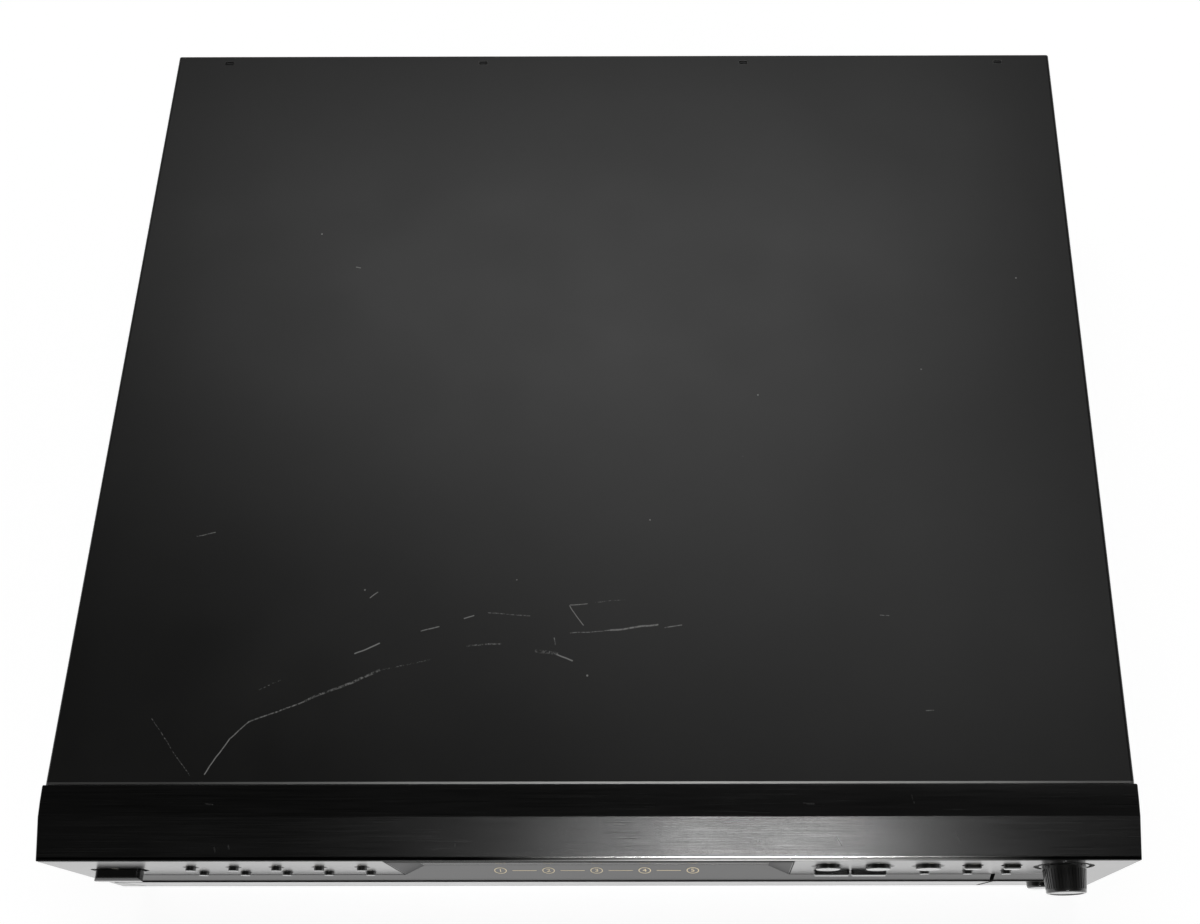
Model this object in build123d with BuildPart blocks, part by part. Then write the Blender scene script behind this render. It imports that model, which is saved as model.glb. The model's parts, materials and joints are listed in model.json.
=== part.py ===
"""Multi disc CD changer: a drawer with a five-disc table, its loading drive, a lifting playing mechanism,
and the casing and front controls around them.

Millimetres. X runs along the front, Y from the front to the back, Z up. The origin is on the floor under
the middle of the whole player. A "depth" is a distance behind the flat front face of the fascia.
"""

import os
from math import acos, cos, degrees, pi, radians, sin, sqrt, tan

from build123d import *

os.makedirs("parts", exist_ok=True)

# ---- driving dimensions ------------------------------------------------------------------------
WIDTH = 430.0  # front panel and cap strip
BODY_DEPTH = 382.7  # fascia to the rear edge of the cover
HEIGHT = 110.0  # floor to the cover's top
KNOB_REACH = 10.6  # jog knob in front of the fascia
JACK_REACH = 8.2  # line-out sockets behind the rear panel
FOOT_HEIGHT = 14.0
SHEET = 1.0  # steel of the chassis and rear panel
COVER_SHEET = 0.9
WALL = 2.8  # moulded fascia wall

COVER_WIDTH = 428.0
COVER_FRONT = 28.4  # depth of the cover's front edge, behind the cap strip
CAP_DEPTH = 28.2

FASCIA_TOP = 101.8
FASCIA_FOOT = 59.5  # height where the flat fascia turns into the sloping band
BAND_FOOT = 54.0
BAND_REACH = 2.0  # how far the band's foot stands in front of the fascia
LEDGE = 0.5
PANEL_FOOT = 16.0

WINDOW_HALF = 80.0  # display recess at the fascia
WINDOW_INNER_HALF = 71.0  # display recess at the window
WINDOW_TOP = 97.3
WINDOW_SETBACK = 2.8

TRAY_MID = -19.0  # X of the drawer's and the disc table's centre
TABLE_DEPTH = 181.0  # depth of the disc table's centre
TRAY_TRAVEL = 205.0
TRAY_HALF = 180.0
RUNNER = 3.6  # side runners of the tray
DRAWER_LEFT = -203.6  # drawer opening in the front panel
DRAWER_RIGHT = 166.2
DRAWER_FOOT = 21.0
DRAWER_GAP = 0.8
TRAY_FLOOR = 40.5
TRAY_FLOOR_THICK = 2.5
TRAY_DECK = 55.0

DISC_CIRCLE = 105.5  # radius on which the disc centres stand
DISC_COUNT = 5
DISC_RECESS = 61.0
SMALL_DISC_RECESS = 41.0
DISC_FLOOR = 50.0
TABLE_RADIUS = 169.0
TABLE_TOP = 53.0
TABLE_WEB = 47.5  # underside of the table
SLOT_HALF = 24.0  # opening from each disc's middle out to the rim
HUB_HOLE = 18.0

TABLE_MODULE = 2.0
RING_TEETH = 78
PINION_TEETH = 12
RACK_MODULE = 1.5
LOADING_TEETH = 16
SLED_MODULE = 0.8
SLED_TEETH = 20

PLAY_DEPTH = TABLE_DEPTH + DISC_CIRCLE  # depth of the spindle
LIFT = 11.0  # rise of the base unit
LIFT_SLIDE = 22.0  # travel of the slider that lifts it
BASE_HALF = 33.0
BASE_FRONT = 264.0
BASE_BACK = 368.0
BASE_LOW = 25.0
BASE_HIGH = 36.0
PICKUP_TRAVEL = 35.0
PICKUP_START = 24.0  # lens to spindle axis

PRESSURE_ANGLE = radians(20)
TOOTH_RISE = 0.9  # tooth tip over the pitch line, in modules
TOOTH_DROP = 1.2  # tooth root under the pitch line, in modules
TOOTH_SHARE = 0.44  # tooth width as a share of the pitch, which leaves backlash

FIT = 0.08  # radial clearance of a running fit

OVERALL_DEPTH = KNOB_REACH + BODY_DEPTH + JACK_REACH
FRONT = -OVERALL_DEPTH / 2 + KNOB_REACH
BAND_SLOPE = BAND_REACH / (FASCIA_FOOT - BAND_FOOT)
TONGUE_TOP = FASCIA_FOOT + WINDOW_SETBACK / BAND_SLOPE


# ---- helpers -----------------------------------------------------------------------------------
def back(depth):
    """Y of a depth behind the fascia."""
    return FRONT + depth


def facing_front(depth):
    """Plane whose sketch is drawn in X and Z; a positive extrusion comes forward."""
    return Plane.XZ.offset(-back(depth))


def side_outline(points):
    """Closed outline of depth and height points, in the current sketch on Plane.YZ."""
    with BuildLine() as outline:
        Polyline(*[(back(depth), height) for depth, height in points], close=True)
    make_face(outline.edges())


def block(x, depth, z, mode=Mode.ADD):
    """Box between two X, two depths and two heights, in the current part."""
    centre = ((x[0] + x[1]) / 2, back((depth[0] + depth[1]) / 2), (z[0] + z[1]) / 2)
    with Locations(centre):
        Box(x[1] - x[0], depth[1] - depth[0], z[1] - z[0], mode=mode)


def upright(x, depth, radius, z, mode=Mode.ADD):
    """Vertical cylinder between two heights, in the current part."""
    with Locations((x, back(depth), (z[0] + z[1]) / 2)):
        Cylinder(radius, z[1] - z[0], mode=mode)


def lying(x, z, radius, depth, mode=Mode.ADD):
    """Cylinder along Y between two depths, in the current part."""
    with Locations(Location((x, back((depth[0] + depth[1]) / 2), z), (90, 0, 0))):
        Cylinder(radius, depth[1] - depth[0], mode=mode)


def crossways(depth, z, radius, x, mode=Mode.ADD):
    """Cylinder along X, in the current part."""
    with Locations(Location(((x[0] + x[1]) / 2, back(depth), z), (0, 90, 0))):
        Cylinder(radius, x[1] - x[0], mode=mode)


def save(builder, name):
    builder.part.label = name
    export_step(builder.part, f"parts/{name}.step")


def gear_points(teeth, module, start=0.0):
    """Involute gear outline round the origin; the first tooth points along start, in degrees."""
    pitch_radius = teeth * module / 2
    base_radius = pitch_radius * cos(PRESSURE_ANGLE)
    tip_radius = pitch_radius + TOOTH_RISE * module
    root_radius = pitch_radius - TOOTH_DROP * module
    half_tooth = TOOTH_SHARE * pi / teeth

    def involute(radius):
        roll = acos(min(1.0, base_radius / radius))
        return tan(roll) - roll

    flank = []
    for radius in (max(base_radius, root_radius), pitch_radius, tip_radius):
        flank.append((radius, half_tooth + involute(pitch_radius) - involute(radius)))
    points = []
    for tooth in range(teeth):
        middle = radians(start) + 2 * pi * tooth / teeth
        profile = [(root_radius, -flank[0][1])]
        profile += [(radius, -angle) for radius, angle in flank]
        profile += [(radius, angle) for radius, angle in reversed(flank)]
        profile += [(root_radius, flank[0][1])]
        for radius, angle in profile:
            point = (radius * cos(middle + angle), radius * sin(middle + angle))
            if not points or abs(point[0] - points[-1][0]) + abs(point[1] - points[-1][1]) > 1e-6:
                points.append(point)
    return points


def gear(x, depth, teeth, module, z, start=0.0, mode=Mode.ADD):
    """Toothed disc with a vertical axis, in the current part."""
    with BuildSketch(Plane.XY.offset(z[0])) as outline:
        with Locations((x, back(depth))):
            Polygon(*gear_points(teeth, module, start), align=None)
    extrude(outline.sketch, amount=z[1] - z[0], mode=mode)


def rack_points(pitch_x, module, mesh_depth, depths):
    """Outline of a rack along Y whose teeth face +X, with a gap centred at mesh_depth."""
    pitch = pi * module
    half_tooth = TOOTH_SHARE * pitch / 2
    rise = TOOTH_RISE * module
    drop = TOOTH_DROP * module
    slope = tan(PRESSURE_ANGLE)
    first = int((depths[0] - mesh_depth) / pitch) + 1
    last = int((depths[1] - mesh_depth) / pitch) - 1
    points = [(pitch_x - 4.0, back(depths[0])), (pitch_x - drop, back(depths[0]))]
    for tooth in range(first, last + 1):
        middle = back(mesh_depth + (tooth + 0.5) * pitch)
        root_half = half_tooth + drop * slope
        tip_half = half_tooth - rise * slope
        points += [(pitch_x - drop, middle - root_half), (pitch_x + rise, middle - tip_half)]
        points += [(pitch_x + rise, middle + tip_half), (pitch_x - drop, middle + root_half)]
    points += [(pitch_x - drop, back(depths[1])), (pitch_x - 4.0, back(depths[1]))]
    return points


# ---- casing ------------------------------------------------------------------------------------
INNER = COVER_WIDTH / 2 - COVER_SHEET  # inner face of the cover's sides
FLANGE = INNER - 0.1  # outer face of the chassis's side flanges
REAR_INNER = BODY_DEPTH - SHEET
NOTCH_X = (-188.5, -63.8, 63.8, 188.5)
NOTCH_DEPTH = BODY_DEPTH - 4.0
NOTCH_SIZE = (4.0, 1.8)
SIDE_SCREWS = ((72.0, 25.0), (338.0, 25.0))  # depth, height
REAR_SCREWS = ((-200.0, 100.0), (0.0, 102.0), (200.0, 100.0), (-200.0, 24.0), (0.0, 24.0), (200.0, 24.0))
SCREW_SHANK = 1.5
SCREW_HEAD = 3.6

FEET = [(x, depth) for x in (-158.0, 158.0) for depth in (52.0, 334.0)]
FOOT_RADIUS = 24.0
FOOT_RING = 20.0  # radius where the foot's flank starts to rise
FOOT_LOW = 0.8  # gap between the floor and the foot's plastic ring
PAD_TOP = 2.0
PAD_RADIUS = 16.8


def make_top_cover():
    with BuildPart() as top_cover:
        with BuildSketch(facing_front(BODY_DEPTH)):
            with BuildLine():
                low = FOOT_HEIGHT + 1.5
                half = COVER_WIDTH / 2
                FilletPolyline(
                    (-half, low), (-half, HEIGHT), (half, HEIGHT), (half, low), radius=1.6
                )
                inner = FilletPolyline(
                    (-INNER, low), (-INNER, HEIGHT - COVER_SHEET), (INNER, HEIGHT - COVER_SHEET),
                    (INNER, low), radius=0.7,
                )
                Line((-half, low), inner @ 0)
                Line((half, low), inner @ 1)
            make_face()
        extrude(amount=BODY_DEPTH - COVER_FRONT)
        for x in NOTCH_X:
            block((x - NOTCH_SIZE[0] / 2, x + NOTCH_SIZE[0] / 2),
                  (NOTCH_DEPTH - NOTCH_SIZE[1] / 2, NOTCH_DEPTH + NOTCH_SIZE[1] / 2),
                  (HEIGHT - 3, HEIGHT + 1), Mode.SUBTRACT)
        for depth, height in SIDE_SCREWS:
            crossways(depth, height, SCREW_SHANK + 0.2, (-WIDTH, WIDTH), Mode.SUBTRACT)
    save(top_cover, "top_cover")


def make_base_chassis():
    floor = FOOT_HEIGHT
    with BuildPart() as base_chassis:
        block((-FLANGE, FLANGE), (COVER_FRONT + 0.4, REAR_INNER - 0.1), (floor, floor + SHEET))
        block((-206, 206), (3.2, COVER_FRONT + 1), (floor, floor + SHEET))
        for side in (-1, 1):
            edges_x = sorted((side * FLANGE, side * (FLANGE - SHEET)))
            block(edges_x, (COVER_FRONT + 0.4, REAR_INNER - 0.1), (floor, 36))
        for depth, height in SIDE_SCREWS:
            crossways(depth, height, SCREW_SHANK, (-WIDTH, WIDTH), Mode.SUBTRACT)
        for x, depth in FEET:
            upright(x, depth, 2.0, (floor - 1, floor + 2), Mode.SUBTRACT)
        # air slots under the transformer
        with BuildSketch(Plane.XY.offset(floor - 1)):
            with Locations((198, back(345))):
                with GridLocations(0, 6, 1, 7):
                    SlotOverall(24, 2.4)
        extrude(amount=SHEET + 2, mode=Mode.SUBTRACT)
    save(base_chassis, "base_chassis")


JACK_X = (-176.0, -160.0)
JACK_HEIGHT = 62.0
JACK_HOLE = 4.4
OPTICAL_X = -130.0
GLAND_X = 186.0
GLAND_HEIGHT = 66.0
GLAND_HOLE = 6.0


def make_rear_panel():
    half = FLANGE - 0.4
    high = HEIGHT - COVER_SHEET - 0.3
    with BuildPart() as rear_panel:
        block((-half, half), (REAR_INNER, BODY_DEPTH), (FOOT_HEIGHT + SHEET, high))
        block((-half, half), (REAR_INNER - 9, REAR_INNER), (high - SHEET, high))
        for x in NOTCH_X:
            block((x - 1.6, x + 1.6), (NOTCH_DEPTH - 0.2, NOTCH_DEPTH + 0.6), (high - 0.1, HEIGHT - 0.3))
        for x in JACK_X:
            lying(x, JACK_HEIGHT, JACK_HOLE, (REAR_INNER - 1, BODY_DEPTH + 1), Mode.SUBTRACT)
        block((OPTICAL_X - 5, OPTICAL_X + 5), (REAR_INNER - 1, BODY_DEPTH + 1),
              (JACK_HEIGHT - 5, JACK_HEIGHT + 5), Mode.SUBTRACT)
        lying(GLAND_X, GLAND_HEIGHT, GLAND_HOLE, (REAR_INNER - 1, BODY_DEPTH + 1), Mode.SUBTRACT)
        for x, height in REAR_SCREWS:
            lying(x, height, SCREW_SHANK, (REAR_INNER - 1, BODY_DEPTH + 1), Mode.SUBTRACT)
        # air slots beside the transformer
        with BuildSketch(facing_front(BODY_DEPTH + 1)):
            with Locations((120, 88)):
                with GridLocations(7, 0, 12, 1):
                    SlotOverall(22, 2.6, rotation=90)
        extrude(amount=SHEET + 2, mode=Mode.SUBTRACT)
    save(rear_panel, "rear_panel")


def make_casing_screws():
    with BuildPart() as casing_screws:
        for depth, height in SIDE_SCREWS:
            for side in (-1, 1):
                face = COVER_WIDTH / 2
                crossways(depth, height, SCREW_HEAD, sorted((side * face, side * (face + 1.0))))
                crossways(depth, height, SCREW_SHANK, sorted((side * (face - 3.5), side * face)))
        for x, height in REAR_SCREWS:
            lying(x, height, SCREW_HEAD, (BODY_DEPTH, BODY_DEPTH + 1.8))
            lying(x, height, SCREW_SHANK, (REAR_INNER - 4, BODY_DEPTH))
    save(casing_screws, "casing_screws")


def make_feet():
    with BuildPart() as feet:
        for x, depth in FEET:
            with BuildSketch(Plane.XZ.offset(-back(depth))):
                with BuildLine():
                    rim = x + FOOT_RADIUS
                    Polyline((x, PAD_TOP), (x + 17, PAD_TOP), (x + 17, FOOT_LOW), (x + FOOT_RING, FOOT_LOW))
                    turn = JernArc((x + FOOT_RING, FOOT_LOW), (1, 0), 1.5, 60)
                    Line(turn @ 1, (rim, FOOT_HEIGHT - 1.5))
                    Polyline((rim, FOOT_HEIGHT - 1.5), (rim, FOOT_HEIGHT), (x, FOOT_HEIGHT), (x, PAD_TOP))
                make_face()
            revolve(axis=Axis((x, back(depth), 0), (0, 0, 1)))
    save(feet, "feet")


def make_foot_pads():
    with BuildPart() as foot_pads:
        for x, depth in FEET:
            upright(x, depth, PAD_RADIUS, (0.0, PAD_TOP))
            upright(x, depth, PAD_RADIUS / 2, (-1, FOOT_LOW), Mode.SUBTRACT)
    save(foot_pads, "foot_pads")


CAP_OUTER = [(CAP_DEPTH, HEIGHT), (22.0, 109.7), (16.0, 109.0), (11.6, 107.6), (0.9, 104.3), (0.0, 103.5),
             (0.0, 102.6)]
CAP_INNER = [(0.4, 102.4), (1.6, 102.4), (1.6, 102.9), (11.9, 105.9), (16.2, 107.2), (CAP_DEPTH, 108.3)]


def make_cap_strip():
    with BuildPart() as cap_strip:
        with BuildSketch(Plane.YZ.offset(-WIDTH / 2)):
            side_outline(CAP_OUTER + CAP_INNER)
        extrude(amount=WIDTH)
        chamfer(cap_strip.faces().filter_by(Axis.X).edges().filter_by(
            lambda edge: edge.center().Z > 106.2), length=0.4)
    save(cap_strip, "cap_strip")


# ---- front controls ----------------------------------------------------------------------------
KEY_COLUMNS = {column: -178.5 + 17.2 * column for column in range(1, 6)}
# name: X, height, radius, protrusion, radius of the dished ring round it
ROUND_BUTTONS = {
    **{f"number_button_upper_{column}": (x, 84.0, 2.0, 1.6, 3.4) for column, x in KEY_COLUMNS.items()},
    **{f"number_button_lower_{column}": (x, 68.0, 2.0, 1.5, 2.5) for column, x in KEY_COLUMNS.items()},
    "transport_button_1": (94.4, 86.0, 5.0, 1.5, 6.9),
    "transport_button_2": (114.5, 86.0, 5.0, 1.5, 6.9),
    "transport_button_3": (134.5, 86.0, 5.0, 1.5, 6.9),
    "small_button_1": (135.1, 70.0, 2.0, 1.5, 2.5),
    "small_button_2": (152.8, 70.0, 2.0, 1.5, 2.5),
    "small_button_3": (168.6, 70.0, 2.0, 1.5, 2.5),
}
# name: X, height, width, height of the face, protrusion, margin of the ring, corner radius
OBLONG_BUTTONS = {
    "mode_button_1": (152.2, 87.0, 6.9, 4.6, 1.5, 0.75, 1.6),
    "mode_button_2": (167.8, 87.0, 6.9, 4.6, 1.5, 0.75, 1.6),
    "skip_button_back": (97.1, 70.0, 14.4, 4.0, 2.0, 0.0, 1.2),
    "skip_button_forward": (112.3, 70.0, 14.4, 4.0, 2.0, 0.0, 1.2),
    "power_button": (-193.2, 75.2, 19.2, 5.0, 4.4, 1.8, 2.2),
}
OPEN_BUTTON = (187.2, 45.0, 5.2, 2.4)  # X, height, radius, protrusion
KNOB = (189.2, 84.0)
KNOB_RADIUS = 8.8
KNOB_TIP_RADIUS = 7.9
KNOB_GROOVE = (9.9, 12.1)
KNOB_SHAFT = 3.0
KNOB_BACK = -0.3  # depth of the knob's rear rim
KNOB_SHAFT_END = 10.5
KNOB_FLUTES = 30
BUTTON_GAP = 0.25
RING_DEPTH = 1.0
STEM_BACK = 8.0  # depth of the buttons' back ends
STEM_RADIUS = 1.6
STEM_FRONT = WALL + 1.2  # back of the flange that holds each button behind the fascia
FLANGE_RIM = 1.2  # how far the flange stands out round the button


def make_front_panel():
    foot = [(0, FASCIA_FOOT), (-BAND_REACH, BAND_FOOT), (-BAND_REACH - LEDGE, BAND_FOOT), (0, PANEL_FOOT)]
    outer = [(28.0, 108.2), (16.3, 107.1), (12.0, 105.8), (1.7, 102.8), (1.7, FASCIA_TOP), (0, FASCIA_TOP)]
    hollow = [(29, 105.6), (16.6, 104.4), (12.5, 103.2), (WALL, 100.3), (WALL, FASCIA_FOOT - 0.6),
              (WALL - BAND_REACH - LEDGE, BAND_FOOT - 0.4), (WALL - 0.2, PANEL_FOOT + 2.2),
              (29, PANEL_FOOT + 2.2)]
    half = WIDTH / 2
    with BuildPart() as front_panel:
        with BuildSketch(Plane.YZ.offset(-half)):
            side_outline(outer + foot + [(28.0, PANEL_FOOT)])
        extrude(amount=WIDTH)
        with BuildSketch(Plane.YZ.offset(-half + WALL)):
            side_outline(hollow)
        extrude(amount=WIDTH - 2 * WALL, mode=Mode.SUBTRACT)
        # drawer opening
        block((DRAWER_LEFT, DRAWER_RIGHT), (-5, 8), (DRAWER_FOOT, FASCIA_FOOT + 0.2), Mode.SUBTRACT)
        # display recess: its ends lean in from the fascia to the window
        with BuildSketch(Plane.XY.offset(FASCIA_FOOT)):
            lean = (WINDOW_HALF - WINDOW_INNER_HALF) / WINDOW_SETBACK
            with BuildLine():
                Polyline((-WINDOW_HALF - lean, back(-1)), (WINDOW_HALF + lean, back(-1)),
                         (WINDOW_INNER_HALF, back(WALL)), (WINDOW_INNER_HALF, back(WALL + 1)),
                         (-WINDOW_INNER_HALF, back(WALL + 1)), (-WINDOW_INNER_HALF, back(WALL)), close=True)
            make_face()
        extrude(amount=WINDOW_TOP - FASCIA_FOOT, mode=Mode.SUBTRACT)
        # holes and dished rings of the buttons
        for x, height, radius, _, ring in ROUND_BUTTONS.values():
            lying(x, height, radius + BUTTON_GAP, (-3, WALL + 1), Mode.SUBTRACT)
            with Locations(Location((x, back(RING_DEPTH / 2), height), (90, 0, 0))):
                Cone(radius + BUTTON_GAP, ring, RING_DEPTH, mode=Mode.SUBTRACT)
        for x, height, width, tall, _, margin, corner in OBLONG_BUTTONS.values():
            with BuildSketch(facing_front(WALL + 1)):
                with Locations((x, height)):
                    RectangleRounded(width + 2 * BUTTON_GAP, tall + 2 * BUTTON_GAP, corner)
            extrude(amount=WALL + 3, mode=Mode.SUBTRACT)
            if margin:
                with BuildSketch(facing_front(RING_DEPTH)):
                    with Locations((x, height)):
                        RectangleRounded(width + 2 * margin, tall + 2 * margin, corner + margin / 2)
                extrude(amount=RING_DEPTH + 1, mode=Mode.SUBTRACT)
        x, height, radius, _ = OPEN_BUTTON
        lying(x, height, radius + BUTTON_GAP, (-5, WALL + 2), Mode.SUBTRACT)
        # jog knob: ring groove and shaft hole
        lying(*KNOB, KNOB_GROOVE[1], (-1, RING_DEPTH), Mode.SUBTRACT)
        lying(*KNOB, KNOB_GROOVE[0], (0, RING_DEPTH))
        lying(*KNOB, KNOB_SHAFT + FIT, (-1, WALL + 1), Mode.SUBTRACT)
    save(front_panel, "front_panel")


def make_round_button(name, x, height, radius, protrusion):
    with BuildPart() as button:
        lying(x, height, radius, (-protrusion, WALL))
        chamfer(button.faces().sort_by(Axis.Y)[0].edges(), length=min(0.4, radius / 6))
        lying(x, height, radius + FLANGE_RIM, (WALL, STEM_FRONT))
        lying(x, height, min(radius, STEM_RADIUS), (STEM_FRONT, STEM_BACK))
    save(button, name)


def make_oblong_button(name, x, height, width, tall, protrusion, corner):
    with BuildPart() as button:
        with BuildSketch(facing_front(WALL)):
            with Locations((x, height)):
                RectangleRounded(width, tall, corner)
        extrude(amount=WALL + protrusion)
        chamfer(button.faces().sort_by(Axis.Y)[0].edges(), length=0.4)
        with BuildSketch(facing_front(STEM_FRONT)):
            with Locations((x, height)):
                Rectangle(width, tall + 2.2)
        extrude(amount=STEM_FRONT - WALL)
        lying(x, height, STEM_RADIUS, (STEM_FRONT, STEM_BACK))
    save(button, name)


def make_power_button():
    """Long button whose face is rounded from top to bottom."""
    x, height, width, tall, protrusion, _, corner = OBLONG_BUTTONS["power_button"]
    with BuildPart() as power_button:
        with BuildSketch(facing_front(WALL)):
            with Locations((x, height)):
                RectangleRounded(width, tall, corner)
        extrude(amount=WALL + protrusion)
        with BuildSketch(Plane.YZ.offset(x - width)):
            with BuildLine():
                brow = back(-protrusion + 1.4)
                low, high = height - tall / 2, height + tall / 2
                ThreePointArc((brow, low), (back(-protrusion), height), (brow, high))
                Polyline((brow, high), (back(WALL), high), (back(WALL), low), (brow, low))
            make_face()
        extrude(amount=2 * width, mode=Mode.INTERSECT)
        with BuildSketch(facing_front(STEM_FRONT)):
            with Locations((x, height)):
                Rectangle(width, tall + 2.4)
        extrude(amount=STEM_FRONT - WALL)
        lying(x, height, STEM_RADIUS, (STEM_FRONT, STEM_BACK))
    save(power_button, "power_button")


def make_open_button():
    x, height, radius, protrusion = OPEN_BUTTON
    with BuildPart() as open_close_button:
        lying(x, height, radius, (-protrusion - BAND_REACH, WALL))
        chamfer(open_close_button.faces().sort_by(Axis.Y)[0].edges(), length=0.6)
        lying(x, height, radius + FLANGE_RIM, (WALL, STEM_FRONT))
        lying(x, height, STEM_RADIUS, (STEM_FRONT, STEM_BACK))
    save(open_close_button, "open_close_button")


def make_jog_knob():
    x, height = KNOB
    with BuildPart() as jog_knob:
        with BuildSketch(Plane.XY.offset(height)):
            with BuildLine():
                Polyline((x, back(-KNOB_REACH)), (x + KNOB_TIP_RADIUS - 1.0, back(-KNOB_REACH)),
                         (x + KNOB_TIP_RADIUS, back(-KNOB_REACH + 1.0)), (x + KNOB_RADIUS, back(KNOB_BACK)),
                         (x + KNOB_SHAFT, back(KNOB_BACK)), (x + KNOB_SHAFT, back(KNOB_SHAFT_END)),
                         (x, back(KNOB_SHAFT_END)), (x, back(-KNOB_REACH)))
            make_face()
        revolve(axis=Axis((x, 0, height), (0, 1, 0)))
        # shallow flutes round the knob
        with BuildSketch(facing_front(-1.2)):
            with Locations((x, height)):
                with PolarLocations(KNOB_RADIUS + 0.35, KNOB_FLUTES):
                    Circle(0.55)
        extrude(amount=KNOB_REACH - 3.4, mode=Mode.SUBTRACT)
    save(jog_knob, "jog_knob")


def make_display_window():
    with BuildPart() as display_window:
        block((-76, 76), (WALL, WALL + 2.0), (TONGUE_TOP + 0.4, 99.8))
    save(display_window, "display_window")


DISPLAY_BOARD_DEPTH = 17.0
KEY_BOARD_DEPTH = 12.0


def make_display_tube():
    with BuildPart() as display_tube:
        block((-62, 62), (7.5, 13.5), (72, 95))
        crossways(10.5, 96.5, 1.4, (-40, -28))
        for x in range(-54, 55, 6):
            block((x - 0.4, x + 0.4), (13.5, DISPLAY_BOARD_DEPTH), (72.6, 73.4))
        block((-30, -27.5), (9.4, 11.6), (94.5, 97.4))
    save(display_tube, "display_tube")


def make_front_boards():
    """Display board and the two key boards, with a push switch behind each button."""
    switches = [(x, height) for x, height, *_ in ROUND_BUTTONS.values()]
    switches += [(x, height) for x, height, *_ in OBLONG_BUTTONS.values()]
    switches.append(OPEN_BUTTON[:2])
    with BuildPart() as front_boards:
        block((-82, 82), (DISPLAY_BOARD_DEPTH, DISPLAY_BOARD_DEPTH + 1.6), (64, 100))
        block((-209, -86), (KEY_BOARD_DEPTH, KEY_BOARD_DEPTH + 1.6), (62, 97))
        block((86, 209), (KEY_BOARD_DEPTH, KEY_BOARD_DEPTH + 1.6), (62, 97))
        block((172, 209), (KEY_BOARD_DEPTH, KEY_BOARD_DEPTH + 1.6), (34, 62))
        for x, height in switches:
            block((x - 3, x + 3), (STEM_BACK + 1.4, KEY_BOARD_DEPTH), (height - 3, height + 3))
        block((KNOB[0] - 6.5, KNOB[0] + 6.5), (6.6, KEY_BOARD_DEPTH), (KNOB[1] - 6.5, KNOB[1] + 6.5))
        lying(*KNOB, KNOB_SHAFT + FIT, (6, KEY_BOARD_DEPTH - 0.4), Mode.SUBTRACT)
    save(front_boards, "front_boards")


# ---- drawer ------------------------------------------------------------------------------------
FLOOR_TOP = TRAY_FLOOR + TRAY_FLOOR_THICK
WELL_RADIUS = TABLE_RADIUS + 2.5
TRAY_FRONT_WALL = 7.0  # depth where the tray meets its front
TRAY_BACK = 356.0
REAR_CUT_HALF = 46.0
REAR_CUT_DEPTH = 262.0
POST_RADIUS = 8.0
HUB_RADIUS = POST_RADIUS + 8.0
CAP_STEM = 3.0
PINION_OFFSET = (RING_TEETH + PINION_TEETH) * TABLE_MODULE / 2 + 0.1
PINION_DEPTH = TABLE_DEPTH - PINION_OFFSET
RING_LOW = FLOOR_TOP + 0.8
RACK_X = TRAY_MID - 130.0
LOADING_X = RACK_X + LOADING_TEETH * RACK_MODULE / 2 + 0.1
LOADING_DEPTH = 58.0
RACK_DEPTHS = (LOADING_DEPTH - 20, LOADING_DEPTH + TRAY_TRAVEL + 20)


def make_tray():
    left, right = TRAY_MID - TRAY_HALF, TRAY_MID + TRAY_HALF
    with BuildPart() as tray:
        # flat deck and skirts
        block((left, right), (TRAY_FRONT_WALL, TRAY_BACK), (FLOOR_TOP + 1, TRAY_DECK))
        block((left + 2, right - 2), (TRAY_FRONT_WALL + 2, TRAY_BACK - 2), (FLOOR_TOP, TRAY_DECK - 2),
              Mode.SUBTRACT)
        # round well for the table
        upright(TRAY_MID, TABLE_DEPTH, WELL_RADIUS + 2, (TRAY_FLOOR, TRAY_DECK))
        upright(TRAY_MID, TABLE_DEPTH, WELL_RADIUS, (FLOOR_TOP, TRAY_DECK + 1), Mode.SUBTRACT)
        # bearing post, with a hole for the cap's stem
        upright(TRAY_MID, TABLE_DEPTH, POST_RADIUS, (FLOOR_TOP, TABLE_TOP - 0.4))
        upright(TRAY_MID, TABLE_DEPTH, CAP_STEM + 0.05, (TRAY_FLOOR - 1, TABLE_TOP), Mode.SUBTRACT)
        # runners
        block((left - RUNNER, left), (TRAY_FRONT_WALL + 3, TRAY_BACK), (46, 49))
        block((right, right + RUNNER), (TRAY_FRONT_WALL + 3, TRAY_BACK), (46, 49))
        # the back is open, so that the tray passes the raised playing mechanism
        block((TRAY_MID - REAR_CUT_HALF, TRAY_MID + REAR_CUT_HALF), (REAR_CUT_DEPTH, TRAY_BACK + 5),
              (TRAY_FLOOR - 1, TRAY_DECK + 1), Mode.SUBTRACT)
        # motor shaft, and lightening holes in the floor
        upright(TRAY_MID, PINION_DEPTH, 3.0, (TRAY_FLOOR - 1, FLOOR_TOP + 1), Mode.SUBTRACT)
        with BuildSketch(Plane.XY.offset(TRAY_FLOOR - 1)):
            with Locations((TRAY_MID, back(TABLE_DEPTH))):
                with PolarLocations(118, 4, start_angle=-18, angular_range=216):
                    Circle(22)
        extrude(amount=TRAY_FLOOR_THICK + 2, mode=Mode.SUBTRACT)
        # rack under the left of the floor
        with BuildSketch(Plane.XY.offset(TRAY_FLOOR - 5.5)):
            Polygon(*rack_points(RACK_X, RACK_MODULE, LOADING_DEPTH, RACK_DEPTHS), align=None)
        extrude(amount=5.5 + 1)
    save(tray, "tray")


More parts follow.
